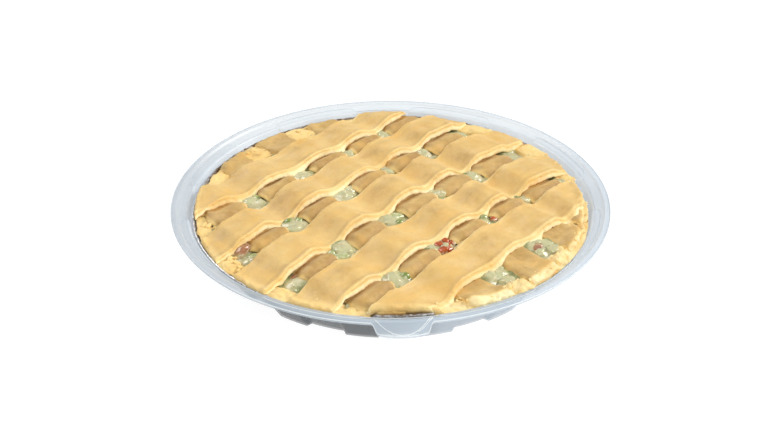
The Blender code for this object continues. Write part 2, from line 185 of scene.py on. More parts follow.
def addNode(material, kind, settings=None, links=None):
    # a node with its sockets or properties set, and the outputs that feed its sockets linked
    node = material.node_tree.nodes.new("ShaderNode" + kind)
    for key, value in (settings or {}).items():
        if key == "stops":
            ramp = node.color_ramp.elements
            while len(ramp) < len(value):
                ramp.new(0.5)
            for element, (position, hexValue) in zip(ramp, value):
                element.position = position
                element.color = colour(hexValue)
        elif isinstance(key, int) or key in node.inputs:
            node.inputs[key].default_value = value
        else:
            setattr(node, key, value)
    for key, output in (links or {}).items():
        material.node_tree.links.new(output, node.inputs[key])
    return node


def perMetre(millimetres):
    # a noise texture's scale for patches about this wide
    return 1 / (millimetres * mm)


doughLook = {
    "pale": "#FAEAB9",  # cut faces and the rim, hardly baked
    "golden": "#EECF8A",
    "browned": "#D5B16E",  # the upper strips' tops
    # the lower strips' tone is darker than the upper strips', partly their own browner colour, partly painted
    # shade
    "browner": "#B9965A",  # the lower strips' tops
    # the brownest tone is painted shade, reached beside the strips that cross them
    "brownest": "#966A2A",  # beside the strips that cross them
    "flour": "#DFC19B",  # patches where dusting flour stayed on
    "butter": "#DFB05B",  # yellower patches
    "speck": "#A97B3C",
}


def doughMaterial(name, tops, flour, grain):
    # Shortcrust pastry, rolled out and baked: dry and matt, pale where it was cut and tan on top, with
    # floury and buttery patches, rolling lines along the strips and a fine sandy grain
    material = newMaterial(name)
    place = addNode(material, "TexCoord").outputs["Object"]
    # the baked attribute also carries painted shade beside the crossing strips, on slopes and in the rim's
    # creases, and a painted highlight along the upper strips' lips
    baked = addNode(material, "Attribute", {"attribute_name": "baked"}).outputs["Fac"]
    along = addNode(material, "Attribute", {"attribute_name": "along"}).outputs["Vector"]
    mottle = addNode(material, "TexNoise", {"Scale": perMetre(10), "Detail": 5.0, "Roughness": 0.62},
                     {"Vector": place})
    shift = addNode(material, "Math", {"operation": "MULTIPLY_ADD", 1: 0.45, 2: -0.235},
                    {0: mottle.outputs["Fac"]})
    tone = addNode(material, "Math", {"operation": "ADD", "use_clamp": True}, {0: baked, 1: shift.outputs[0]})
    ramp = addNode(material, "ValToRGB", {"stops": (
        (0.0, doughLook["pale"]), (0.35, doughLook["golden"]), (0.7, tops), (1.0, doughLook["brownest"]))},
        {"Fac": tone.outputs[0]})
    patches = addNode(material, "TexNoise", {"Scale": perMetre(11), "Detail": 4.0, "Roughness": 0.65},
                      {"Vector": place})
    floury = addNode(material, "MapRange", {"From Min": 0.48, "From Max": 0.70, "To Max": flour},
                     {"Value": patches.outputs["Fac"]})
    onTop = addNode(material, "Math", {"operation": "MULTIPLY"}, {0: floury.outputs[0], 1: baked})
    first = addNode(material, "Mix", {"data_type": "RGBA", 7: colour(doughLook["flour"])},
                    {0: onTop.outputs[0], 6: ramp.outputs["Color"]})
    streaks = addNode(material, "TexNoise", {"Scale": perMetre(23), "Detail": 2.0}, {"Vector": place})
    buttery = addNode(material, "MapRange", {"From Min": 0.48, "From Max": 0.68, "To Max": 0.5},
                      {"Value": streaks.outputs["Fac"]})
    second = addNode(material, "Mix", {"data_type": "RGBA", 7: colour(doughLook["butter"])},
                     {0: buttery.outputs[0], 6: first.outputs[2]})
    dots = addNode(material, "TexNoise", {"Scale": perMetre(1.6), "Detail": 3.0, "Roughness": 0.7},
                   {"Vector": place})  # drawn coarser than the flour's own grain, so that it shows
    specks = addNode(material, "MapRange", {"From Min": 0.56, "From Max": 0.8, "To Max": grain},
                     {"Value": dots.outputs["Fac"]})
    third = addNode(material, "Mix", {"data_type": "RGBA", 7: colour(doughLook["speck"])},
                    {0: specks.outputs[0], 6: second.outputs[2]})
    # rolling lines: noise drawn out along the strip, 40 mm by 1.3 mm
    stretched = addNode(material, "Mapping", {"Scale": (perMetre(40), perMetre(1.3), 0.6)}, {"Vector": along})
    lines = addNode(material, "TexNoise", {"Scale": 1.0, "Detail": 2.0}, {"Vector": stretched.outputs[0]})
    softer = addNode(material, "Bump", {"Strength": 0.5, "Distance": 0.5 * mm},
                     {"Height": lines.outputs["Fac"]})
    lumps = addNode(material, "TexNoise", {"Scale": perMetre(5), "Detail": 3.0}, {"Vector": place})
    lumpy = addNode(material, "Bump", {"Strength": 0.5, "Distance": 0.8 * mm},
                    {"Height": lumps.outputs["Fac"], "Normal": softer.outputs[0]})
    sandy = addNode(material, "Bump", {"Strength": 0.7, "Distance": 0.45 * mm},
                    {"Height": dots.outputs["Fac"], "Normal": lumpy.outputs[0]})
    rough = addNode(material, "MapRange", {"To Min": 0.48, "To Max": 0.7}, {"Value": patches.outputs["Fac"]})
    shader = addNode(material, "BsdfPrincipled", {
        "Subsurface Weight": 0.12, "Subsurface Radius": (1.0, 0.6, 0.3), "Subsurface Scale": 1.5 * mm,
        "Specular IOR Level": 0.35, "Sheen Weight": 0.08, "Sheen Roughness": 0.5,
    }, {"Base Color": third.outputs[2], "Roughness": rough.outputs[0], "Normal": sandy.outputs[0]})
    addNode(material, "OutputMaterial", links={"Surface": shader.outputs[0]})
    return material


def wetMaterial(name, bare, deep, sauce, cover, gloss):
    # Cooked filling coated in cream sauce: smooth and wet, the sauce thin on what stands up, so that
    # the piece's own colour shows through in patches; cover is the share that the sauce hides
    material = newMaterial(name)
    place = addNode(material, "TexCoord").outputs["Object"]
    tint = addNode(material, "Attribute", {"attribute_name": "tint"}).outputs["Fac"]
    fibre = addNode(material, "TexNoise", {"Scale": perMetre(3), "Detail": 3.0}, {"Vector": place})
    own = addNode(material, "Mix", {"data_type": "RGBA", 6: colour(bare), 7: colour(deep)},
                  {0: fibre.outputs["Fac"]})
    film = addNode(material, "TexNoise", {"Scale": perMetre(4.5), "Detail": 2.0}, {"Vector": place})
    thick = addNode(material, "Math", {"operation": "ADD"}, {0: film.outputs["Fac"], 1: tint})
    coat = addNode(material, "MapRange", {"From Min": cover + 0.12, "From Max": cover - 0.12, "To Max": 1.0},
                   {"Value": thick.outputs[0]})
    mixed = addNode(material, "Mix", {"data_type": "RGBA", 7: colour(sauce)},
                    {0: coat.outputs[0], 6: own.outputs[2]})
    soft = addNode(material, "Bump", {"Strength": 0.25, "Distance": 0.5 * mm},
                   {"Height": film.outputs["Fac"]})
    wrinkles = addNode(material, "TexNoise", {"Scale": perMetre(1.9), "Detail": 2.0}, {"Vector": place})
    bump = addNode(material, "Bump", {"Strength": 0.65, "Distance": 0.45 * mm},
                   {"Height": wrinkles.outputs["Fac"], "Normal": soft.outputs[0]})
    shader = addNode(material, "BsdfPrincipled", {
        "Roughness": gloss, "Subsurface Weight": 0.2, "Subsurface Radius": (1.0, 0.9, 0.6),
        "Subsurface Scale": 2.0 * mm, "Coat Weight": 0.9, "Coat Roughness": 0.08, "IOR": 1.38,
    }, {"Base Color": mixed.outputs[2], "Normal": bump.outputs[0]})
    addNode(material, "OutputMaterial", links={"Surface": shader.outputs[0]})
    return material


def creamSauceMaterial():
    # Flour-thickened cream sauce, poured: opaque, glossy, pale with a green cast where herbs and peas
    # have coloured it, whiter where the cream is thick, and darker in the corners beside the strips, as
    # painted shade
    material = newMaterial("creamSaucePoured")
    place = addNode(material, "TexCoord").outputs["Object"]
    tint = addNode(material, "Attribute", {"attribute_name": "tint"}).outputs["Fac"]
    swirl = addNode(material, "TexNoise", {"Scale": perMetre(9), "Detail": 4.0, "Distortion": 0.8},
                    {"Vector": place})
    broad = addNode(material, "TexNoise", {"Scale": perMetre(70), "Detail": 1.0}, {"Vector": place})
    shift = addNode(material, "Math", {"operation": "MULTIPLY_ADD", 1: 0.4, 2: -0.2},
                    {0: broad.outputs["Fac"]})
    both = addNode(material, "Math", {"operation": "ADD"}, {0: shift.outputs[0], 1: tint})
    tone = addNode(material, "Math", {"operation": "ADD"}, {0: swirl.outputs["Fac"], 1: both.outputs[0]})
    ramp = addNode(material, "ValToRGB", {"stops": (
        (0.3, "#CFC9A6"), (0.5, "#BEB992"), (0.68, "#A5A678"), (0.95, "#777B4E"))}, {"Fac": tone.outputs[0]})
    herbs = addNode(material, "TexNoise", {"Scale": perMetre(1.8), "Detail": 1.0}, {"Vector": place})
    flecks = addNode(material, "MapRange", {"From Min": 0.68, "From Max": 0.74, "To Max": 0.7},
                     {"Value": herbs.outputs["Fac"]})
    mixed = addNode(material, "Mix", {"data_type": "RGBA", 7: colour("#7F9650")},
                    {0: flecks.outputs[0], 6: ramp.outputs["Color"]})
    wrinkles = addNode(material, "TexNoise", {"Scale": perMetre(2.2), "Detail": 2.0}, {"Vector": place})
    fine = addNode(material, "Bump", {"Strength": 0.45, "Distance": 0.4 * mm},
                   {"Height": wrinkles.outputs["Fac"]})
    bump = addNode(material, "Bump", {"Strength": 0.3, "Distance": 0.6 * mm},
                   {"Height": swirl.outputs["Fac"], "Normal": fine.outputs[0]})
    shader = addNode(material, "BsdfPrincipled", {
        "Roughness": 0.3, "Subsurface Weight": 0.25, "Subsurface Radius": (1.0, 0.95, 0.6),
        "Subsurface Scale": 2.5 * mm, "Coat Weight": 0.6, "Coat Roughness": 0.08, "IOR": 1.4,
    }, {"Base Color": mixed.outputs[2], "Normal": bump.outputs[0]})
    addNode(material, "OutputMaterial", links={"Surface": shader.outputs[0]})
    return material


def foilMaterial():
    # Aluminium foil, pressed and rolled: bright metal with fine creases, brown where juices baked on and
    # where shade is painted
    material = newMaterial("aluminiumFoilPressed")
    place = addNode(material, "TexCoord").outputs["Object"]
    stain = addNode(material, "Attribute", {"attribute_name": "stain"}).outputs["Fac"]
    mottle = addNode(material, "TexNoise", {"Scale": perMetre(3.5), "Detail": 3.0}, {"Vector": place})
    amount = addNode(material, "Math", {"operation": "MULTIPLY_ADD", "use_clamp": True, 2: -0.25},
                     {0: mottle.outputs["Fac"], 1: stain})
    juiceAndShade = addNode(material, "Mix", {"data_type": "RGBA", 6: colour("#D2D3D4"), 7: colour("#5C4220")},
                    {0: amount.outputs[0]})
    metal = addNode(material, "Math", {"operation": "SUBTRACT", "use_clamp": True, 0: 1.0},
                    {1: amount.outputs[0]})
    creases = addNode(material, "TexVoronoi", {"Scale": perMetre(1.6), "feature": "DISTANCE_TO_EDGE"},
                      {"Vector": place})
    bump = addNode(material, "Bump", {"Strength": 0.4, "Distance": 0.2 * mm},
                   {"Height": creases.outputs["Distance"]})
    shader = addNode(material, "BsdfPrincipled", {"Roughness": 0.45}, {
        "Base Color": juiceAndShade.outputs[2], "Metallic": metal.outputs[0], "Normal": bump.outputs[0]})
    addNode(material, "OutputMaterial", links={"Surface": shader.outputs[0]})
    return material


def clearPlasticMaterial(name, alpha):
    # Polypropylene sheet, drawn in a mould: milky clear, bluish, waxy gloss with faint flow ripples
    material = newMaterial(name)
    place = addNode(material, "TexCoord").outputs["Object"]
    flow = addNode(material, "TexNoise", {"Scale": perMetre(30), "Detail": 2.0}, {"Vector": place})
    haze = addNode(material, "Mix", {"data_type": "RGBA", 6: colour("#B9C6D2"), 7: colour("#CBD7E2")},
                   {0: flow.outputs["Fac"]})
    bump = addNode(material, "Bump", {"Strength": 0.03, "Distance": 0.5 * mm},
                   {"Height": flow.outputs["Fac"]})
    # darkened where shade is painted on the sheet, and whitened at its bends, raised lines and, as painted
    # light, the tray's back
    dark = addNode(material, "Attribute", {"attribute_name": "dark"}).outputs["Fac"]
    white = addNode(material, "Attribute", {"attribute_name": "white"}).outputs["Fac"]
    darker = addNode(material, "Mix", {"data_type": "RGBA", 7: colour("#3E474D")},
                     {0: dark, 6: haze.outputs[2]})
    whiter = addNode(material, "Mix", {"data_type": "RGBA", 7: colour("#F2F7F8")},
                     {0: white, 6: darker.outputs[2]})
    shader = addNode(material, "BsdfPrincipled", {
        "Roughness": 0.3, "Alpha": alpha, "Specular IOR Level": 0.5,
    }, {"Base Color": whiter.outputs[2], "Normal": bump.outputs[0]})
    addNode(material, "OutputMaterial", links={"Surface": shader.outputs[0]})
    return material


# Lattice: the same numbers as the solids have

lattice = {
    "turn": math.radians(45),
    "shift": 1.0 * mm,  # the pie sits a little to one side in its tray
    "thickness": 4.6 * mm,
    "endThickness": 3.4 * mm,
    "pressFrom": 132 * mm,  # the strips are pressed thinner between these two radii
    "pressTo": 145 * mm,
    "endRadius": 150 * mm,
    "underTop": 37.2 * mm,  # top of the lower strips at the pie's edge
    "domeRise": 4.0 * mm,
    "domeRadius": 150 * mm,
    "pillow": 1.0 * mm,
    "endDrop": 3.7 * mm,
    "endDropStart": 3.0 * mm,
    "endDropLength": 13 * mm,
    "bowLength": 100 * mm,
}
# Centre, width, lean, bow; the upper ones also have how deep they sag into the four gaps
underStrips = [
    (-107.0, 29, 0.025, 5.0),
    (-53.0, 30, 0.031, 2.2),
    (4.6, 30, 0.032, -2.7),
    (47.5, 28, 0.027, 1.5),
    (96.5, 34, 0.070, -3.0),
]
overStrips = [
    (-102.7, 31, -0.004, -2.8, (3.8, 2.5, 2.0, 4.0)),
    (-51.3, 32, -0.020, -4.0, (4.6, 4.0, 3.9, 6.2)),
    (2.7, 32, 0.003, -3.9, (5.2, 4.8, 3.9, 5.8)),
    (52.6, 29, 0.024, -1.4, (6.0, 2.8, 4.6, 3.8)),
    (99.8, 31, 0.0, 2.9, (4.0, 2.0, 2.3, 3.2)),
]


def middle(strip, along):
    return strip[0] * mm + strip[2] * along + strip[3] * mm * (along / lattice["bowLength"]) ** 2


def halfWidth(strip):
    return strip[1] * mm / 2


def gapsBetween(strips, along):
    return [(middle(one, along) + halfWidth(one), middle(two, along) - halfWidth(two))
            for one, two in zip(strips, strips[1:])]


def hollow(x, low, high):
    # a cosine wave: 0 at low and high and outside them, 1 midway
    return (1 - np.cos(2 * np.pi * np.clip((x - low) / (high - low), 0, 1))) / 2


def dome(a, b):
    return lattice["domeRise"] * np.clip(1 - (a * a + b * b) / lattice["domeRadius"] ** 2, 0, 1)


def thickness(a, b):
    press = smooth((np.hypot(a, b) - lattice["pressFrom"]) / (lattice["pressTo"] - lattice["pressFrom"]))
    return lattice["thickness"] + (lattice["endThickness"] - lattice["thickness"]) * press


def underBottom(a, b, strip=None):
    swell = sum(hollow(b, low, high) for low, high in gapsBetween(overStrips, a))
    return lattice["underTop"] + dome(a, b) - thickness(a, b) + lattice["pillow"] * swell


def overBottom(a, b, strip):
    reach = stripLook["sagReach"]
    sag = sum(depth * mm * stripLook["sagDeeper"] * hollow(a, low - reach, high + reach)
              for depth, (low, high) in zip(strip[4], gapsBetween(underStrips, b)))
    first, last = underStrips[0], underStrips[-1]
    before = middle(first, b) - halfWidth(first) - lattice["endDropStart"] - a
    after = a - middle(last, b) - halfWidth(last) - lattice["endDropStart"]
    drop = smooth(before / lattice["endDropLength"]) + smooth(after / lattice["endDropLength"])
    return lattice["underTop"] + dome(a, b) + 1.3 * touchGap - sag - lattice["endDrop"] * drop


def toWorld(a, b, z):
    cos, sin = math.cos(lattice["turn"]), math.sin(lattice["turn"])
    return stacked(a * cos - b * sin + lattice["shift"], a * sin + b * cos, z)


# Strips

stripLook = {
    "rows": 420,
    "columns": 76,
    "endRows": 14,
    "endFace": 0.3,  # share of the thickness that stays upright at an end
    "unevenEdge": 0.8 * mm,
    "unevenLength": 17 * mm,
    "furrow": 0.16 * mm,
    "wave": 0.95 * mm,
    "fold": 0.7 * mm,  # long shallow folds
    "crumble": 0.35 * mm,  # roughness of the cut sides
    "endCrumble": 1.0 * mm,
    "endRagged": 1.6 * mm,  # more at the lower right
    "sagReach": 11.5 * mm,  # the sags run out softly over the rounded strips below
    "sagDeeper": 1.45,
    "squashed": 5.0 * mm,  # how much wider a strip's foot is beside an opening
    "squeeze": 2.6 * mm,  # how far the upper strips press into the lower ones
    "reachesOut": 4.6 * mm,  # how much longer the ends are at the front, and shorter at the back
    "furtherLeft": 1.2 * mm,  # further out again at the lower left
    "furtherRight": 3.0 * mm,  # and at the lower right, where they lie over the rim
    "farRight": 1.6 * mm,  # and at the right back
    "shortOfTin": 2.6 * mm,  # further in where the tin's rim shows
    "trimmed": 0.8 * mm,  # cut off each end, unevenly
    "footReach": 4 * mm,  # how far the wider foot runs on past an opening
    "insideUpTo": 136 * mm,  # up to here the strips lie on the filling
    "insideFade": 9 * mm,
    "rimFrom": 143 * mm,  # and from here on the rim
    "rimFade": 5 * mm,
}
# Half a section from the middle of the bottom up to the middle of the top: share of the half width, and
# share of the thickness. The upper strips have a lip along their edges and sides that lean outwards.
upperForm = {
    "corners": ((0, 0), (0.80, 0), (0.98, 0.0), (1.05, 0.12), (1.03, 0.34), (0.975, 0.56), (0.975, 0.80),
                (0.94, 1.0), (0.87, 1.07), (0.77, 0.98), (0.66, 0.89), (0.45, 0.95), (0.2, 1.0)),
    "below": 3.0 * mm, "endBelow": 2.8 * mm, "sink": 1.15 * mm, "endRound": 8.0 * mm,
}
firstForm = {**upperForm, "endRound": 13 * mm}  # the first upper strip slopes down broadly at its ends
lowerForm = {
    "corners": ((0, 0), (0.85, 0), (1.0, 0.02), (1.03, 0.22), (0.985, 0.62), (0.87, 0.95), (0.64, 1.03),
                (0.35, 0.99), (0.15, 1.0)),
    "below": 0.9 * mm, "endBelow": 2.8 * mm, "sink": 0.1 * mm, "endRound": 6.5 * mm,
}


def softened(points, times):
    # corner cutting: each pass turns every corner of a closed outline into two, a quarter of the way along
    # its sides, which tends to a smooth curve
    for _ in range(times):
        after = np.roll(points, -1, axis=0)
        points = np.stack([0.75 * points + 0.25 * after, 0.25 * points + 0.75 * after], axis=1).reshape(-1, 2)
    return points


def stripSection(form, columns):
    # once round from the middle of the bottom
    right = np.array(form["corners"])
    left = right[:0:-1] * (-1, 1)
    scale = np.array((15.5, 6.0))  # evenly spaced on a real strip
    return evenSection(softened(np.concatenate([right, left]), 3) * scale, columns) / scale


# Where the rim and what meets it differ, in degrees round the tray: 0 to the right, -90 at the front
zones = {
    "front": -110,  # the dough and the tin's rim are further out this way, and further in opposite
    "lowerLeft": -118,
    "lowerRight": -45,
    "tinMiddle": -89.5,  # the stretch where the tin's rim shows, half its length, and how softly it ends
    "tinHalf": 9.5,
    "tinFade": 3,
    # the middle and the spread of a bell curve
    "farLeft": (136, 22),
    "rightBack": (30, 26),
    "overRim": (-48, 24),  # where the strips' ends lie over the rim
    "againstTray": (-48, 42),  # where the crust touches the tray's wall
    "layered": (-89, 15),  # where a strip's end is less pale and more layered, above the tin's rim
}


def lowerLeft(angles):
    # 1 round the lower left of the pie, fading out to 0
    return smooth((np.cos(angles - math.radians(zones["lowerLeft"])) - 0.35) / 0.5)


def lowerRight(angles):
    return smooth((np.cos(angles - math.radians(zones["lowerRight"])) - 0.25) / 0.6)


def towardsFront(angles):
    # 1 at the front, a little to the left, and -1 opposite
    return np.cos(angles - math.radians(zones["front"]))


def degreesFrom(angles, centre):
    # how far an angle is from a direction, from -180 to 180 degrees
    return (np.degrees(angles) - centre + 180) % 360 - 180


def around(angles, zone):
    # 1 in the middle of a zone, fading out to 0 on both sides of it as a bell curve
    centre, spread = zones[zone]
    return np.exp(-(degreesFrom(angles, centre) / spread) ** 2)


def tinShows(angles):
    # 1 where the tin's rim shows at the front, below the first upper strip, fading out to 0
    away = np.abs(degreesFrom(angles, zones["tinMiddle"]))
    return smooth((zones["tinHalf"] - away) / zones["tinFade"])


def insideTray(points):
    # moves what would reach through the tray's wall back inside it, by a limit on the radius that grows
    # with the height
    heights = (tray["shelfHeight"], tray["ledgeHeight"] - tray["ledgeSlope"], tray["ledgeHeight"])
    radii = (tray["shelfOuter"] - 0.5 * tray["lugDepth"], tray["ledgeInner"] - tray["lugDepth"],
             tray["ledgeOuter"])
    limit = np.interp(points[..., 2], heights, radii) - touchGap
    radius = np.hypot(points[..., 0], points[..., 1])
    points[..., :2] *= np.minimum(limit / np.maximum(radius, mm), 1)[..., None]
    return points


def stripEnd(strip, across, side, seed, flipped):
    # each end is trimmed along the pie's round edge, unevenly
    along = np.full(across.shape, side * lattice["endRadius"])
    for _ in range(8):
        centred = middle(strip, along) + across
        angle = np.arctan2(along, centred) if flipped else np.arctan2(centred, along)
        angle = angle + lattice["turn"]
        radius = lattice["endRadius"] + stripLook["reachesOut"] * towardsFront(angle)
        radius += stripLook["furtherLeft"] * lowerLeft(angle) - stripLook["shortOfTin"] * tinShows(angle)
        radius += stripLook["furtherRight"] * around(angle, "overRim")
        radius += stripLook["farRight"] * around(angle, "rightBack")
        along = side * np.sqrt(radius ** 2 - centred ** 2)
    uneven = noise(stacked(across, 3.0 * side, seed * 0.37), 7 * mm, seed + 5, 3)
    ragged = stripLook["endRagged"] * lowerRight(angle)
    return along - side * (stripLook["trimmed"] + ragged * 0.5) * (1 + uneven)


def makeStrip(name, strip, bottom, form, seed, material, replaced):
    columns = stripLook["columns"]
    share, level = stripSection(form, columns).T
    across0 = share * halfWidth(strip)
    lower = bottom is underBottom
    ends = [stripEnd(strip, across0, side, seed, lower) for side in (-1, 1)]
    turn = np.linspace(0, np.pi / 2, stripLook["endRows"])
    near = form["endRound"] * (1 - np.cos(turn))  # rows close together where an end rounds off
    low, high = ends[0] + near[-1], ends[1] - near[-1]
    inner = np.linspace(0, 1, stripLook["rows"] - 2 * len(near) + 2)[1:-1, None]
    along = np.concatenate([ends[0] + near[:, None], low + (high - low) * inner, ends[1] - near[::-1, None]])
    rows = len(along)
    face = stripLook["endFace"]
    rounding = np.concatenate([np.sin(turn), np.ones(len(inner)), np.sin(turn[::-1])])[:, None]
    height = level * (face + (1 - face) * rounding)
    sides = np.sign(share) * np.ones_like(along)
    edge = noise(stacked(along, sides * 0.5, seed * 1.7), stripLook["unevenLength"], seed, 3)
    wobble = noise(stacked(along, 0, seed * 2.3), 45 * mm, seed + 1)
    across = across0 * np.ones_like(along) + stripLook["unevenEdge"] * (share * edge * sides + 0.6 * wobble)
    # each strip spreads at its foot beside an opening
    crossing = overStrips if lower else underStrips
    reach = stripLook["footReach"]
    beside = sum(hollow(along, low - reach, high + reach) for low, high in gapsBetween(crossing, across))
    spread = stripLook["squashed"] * (0.85 if lower else 1.0) * (1 + 0.35 * edge)
    across += spread * share * (1 - np.minimum(level, 1)) * beside
    a, b = along, middle(strip, along) + across
    if lower:
        a, b = b, a
    radius = np.hypot(a, b)
    angle = np.arctan2(b, a) + lattice["turn"]
    wave = noise(stacked(along, across, seed * 0.9), 24 * mm, seed + 2, 2)
    furrow = noise(stacked(along / 14, across, seed * 0.8), 3.2 * mm, seed + 3, 2)
    top = smooth((height - 0.7) / 0.3)
    inside = 1 - smooth((radius - stripLook["insideUpTo"]) / stripLook["insideFade"])
    onRim = smooth((radius - stripLook["rimFrom"]) / stripLook["rimFade"])
    below = form["below"] * (0.15 + 0.85 * inside) + form["endBelow"] * onRim
    z = bottom(a, b, strip) + height * thickness(a, b) - (1 - level) * below
    tucked = 0.0
    if lower:
        raised = sum(hollow(b, *gap) for gap in gapsBetween(overStrips, a))
        z -= stripLook["squeeze"] * (1 - raised) * inside
        # painted shade: browner close to the upper strips, most on their near sides, where the upper strips
        # shade them
        tucked = sum((np.exp(-np.maximum(high - 1.5 * mm - b, 0) / (3 * mm))
                      + 0.3 * np.exp(-np.maximum(b - low, 0) / (2 * mm)))
                     * (b < high) * (b > low) for low, high in gapsBetween(overStrips, a))
    fold = noise(stacked(along / 5, across, seed * 1.3), 10 * mm, seed + 4)
    uneven = stripLook["wave"] * wave + stripLook["furrow"] * furrow + stripLook["fold"] * fold
    z += top * (uneven - form["sink"])
    points = toWorld(a, b, z)
    side = smooth((np.abs(share) - 0.86) / 0.1) * np.ones_like(along)
    fromEnd = np.minimum(along - ends[0], ends[1] - along)
    pale = lowerRight(angle)
    ending = smooth(1 - fromEnd / ((5 + 5 * pale) * mm))
    crumble = noise(points, 2.4 * mm, seed + 7, 2) + 0.8 * pale * noise(points, 5 * mm, seed + 6)
    tin = around(angle, "layered")
    layered = np.cos(2 * np.pi * 2.2 * level + 3 * noise(points, 15 * mm, seed + 8))
    layered = layered * np.maximum(side, ending)
    push = crumble * (side * stripLook["crumble"] + ending * stripLook["endCrumble"] * np.minimum(height, 1))
    points = points + gridNormals(points) * (push + (0.12 + 0.15 * tin) * mm * layered)[..., None]
    points = insideTray(points)
    # pale where it was cut, at the ends, and most at the lower right, where it browned least
    rim = smooth((radius - (147 - 1.5 * pale) * mm + 1.5 * mm * noise(points, 7 * mm, seed + 9)) / (4 * mm))
    rim = rim * (0.3 + 0.7 * pale) * (1 - 0.75 * tin)
    if lower:
        cut = 0.45 * side * smooth((0.8 - level) / 0.5)
    else:  # a pale line along the lip, and the lower half of the side palest, most where the strip sags
        # the pale lip line is a painted highlight, and the extra paleness where the strip sags is painted
        # light
        lip = np.exp(-((np.abs(share) - 0.93) / 0.03) ** 2)
        sags = sum(hollow(a, *gap) for gap in gapsBetween(underStrips, b))
        cut = side * (0.2 + (1.0 + 0.2 * wave) * smooth((0.72 - level) / 0.35)) + 0.5 * lip
        cut = cut * (0.8 + 0.4 * sags)
    # painted shade: browner on the slopes that rise along the strip, which face away from the light
    slopeShade = np.clip(np.gradient(z, axis=0) / np.gradient(along, axis=0) / 0.3, -1, 1) * top * inside
    baked = (0.66 + 0.07 * wave + 0.05 * slopeShade) * (1 - np.minimum(cut, 1)) * (1 - 0.9 * rim) + 0.38 * tucked
    values = {
        "baked": baked.ravel(),
        "along": stacked(along, across, level * 4.6 * mm).reshape(-1, 3),
    }
    ring = np.roll(np.arange(columns), -int(np.argmin(np.abs(level - 0.4) + 9 * (share < 0))))
    half = np.arange(columns // 2 - 1)
    cap = np.stack([ring[half], ring[half + 1], ring[-2 - half], ring[-1 - half]], axis=-1)
    faces = [np.concatenate([gridFaces(rows, columns), cap[:, ::-1], cap + (rows - 1) * columns])]
    return addPiece(name, points.reshape(-1, 3), faces, material, values, [replaced])


# Bottom crust

crust = {
    "thickness": 4.5 * mm,
    "radius": 149.5 * mm,
    "overhang": 3.3 * mm,
    "pressedTop": 33.4 * mm,
    "bareTop": 36.2 * mm,
    "rimInner": 138.0 * mm,
    "narrowestAt": math.radians(-120),
    "rimNarrower": 3.5 * mm,  # how much further out the rim's inner side is there, at the lower left
    "rimWider": 11 * mm,  # how much further in it is at the far left, where no sauce shows
    "rimFoot": 32.2 * mm,
    "lip": 33.0 * mm,
    "thickestAt": math.radians(-52),
    "thinnest": 0.25,
    "swellFrom": 1.0 * mm,
    "swellTo": 3.0 * mm,
    "reachesOut": 4.4 * mm,  # how much further out it is at the front, and further in at the back
    "backShare": 0.35,
    "touchesTray": 3.2 * mm,  # further out again at the lower right
    "furtherLeft": 1.4 * mm,  # and at the lower left
    "farRight": 1.6 * mm,  # and at the right back
    "shortOfTin": 4.2 * mm,  # further in where the tin's rim shows at the front
    "trimmed": 0.5 * mm,  # unevenly trimmed at the lower left, where the tin's rim shows too
    "drawnIn": 0.8 * mm,  # further in under the strips' ends, but for the lower right
    "lumps": 1.9 * mm,
    "crags": 1.3 * mm,
}
tinShape = {
    "radius": 152 * mm,
    "baseRadius": 118.5 * mm,
    "shoulderRadius": 141.2 * mm,
    "shoulderHeight": 29.7 * mm,
    "sheet": 0.5 * mm,
    "bead": 1.1 * mm,
    "spread": 3.2 * mm,  # the rim is pressed out against the tray's wall at the front, and in at the back
    "beadHeight": 32.3 * mm,
    "tucked": 4.0 * mm,  # how much further in it is at the lower right, under the crust
    "sunk": 2.4 * mm,  # and how much lower
    "liftedFront": 2.1 * mm,  # how much higher it is where it shows at the front
    "outFront": 0.9 * mm,  # and how much further out
    "backShare": 0.45,
    "floor": 1.1 * mm,
    "crimps": 96,
    "pinch": 0.12 * mm,
    "crinkle": 0.2 * mm,
    "flute": 0.25 * mm,
}


def turnedPoints(rows, angles):
    # rows of (radius, height), each for every angle, turned about the vertical axis
    return stacked(rows[..., 0] * np.cos(angles), rows[..., 0] * np.sin(angles), rows[..., 1])


def closedTurned(points):
    # a turned skin's points with a pole at each end, and its faces
    rows, columns = points.shape[:2]
    poles = points[[0, -1]].mean(axis=1)
    flat = np.concatenate([points.reshape(-1, 3), poles])
    ring = np.arange(columns)
    first = fanFaces(ring, len(flat) - 2)[:, ::-1]
    last = fanFaces((rows - 1) * columns + ring, len(flat) - 1)
    return flat, [gridFaces(rows, columns), np.concatenate([first, last])]


def row(radius, height, angles):
    return np.stack(np.broadcast_arrays(radius + 0 * angles, height + 0 * angles), axis=-1)


def besideStrips(a, b):
    # how far a place is from the nearest strip's edge, and below 0 within one
    clear = np.full(a.shape, np.inf)
    for across, along, strips in ((a, b, underStrips), (b, a, overStrips)):
        for strip in strips:
            clear = np.minimum(clear, np.abs(across - middle(strip, along)) - halfWidth(strip))
    return clear


def clearOfStrips(angles):
    # the same for the whole width of the rim
    turned = angles - lattice["turn"]
    radii = (crust["rimInner"], crust["radius"], crust["radius"] + crust["overhang"])
    return np.min([besideStrips(r * np.cos(turned), r * np.sin(turned)) for r in radii], axis=0)


def rimShare(angles):
    # how full the rim is, from 1 at the lower right
    return crust["thinnest"] + (1 - crust["thinnest"]) * ((1 + np.cos(angles - crust["thickestAt"])) / 2) ** 2


def rimInner(angles):
    # the radius of the rim's inner side
    narrower = crust["rimNarrower"] * np.cos(angles - crust["narrowestAt"])
    return crust["rimInner"] + narrower - crust["rimWider"] * around(angles, "farLeft")


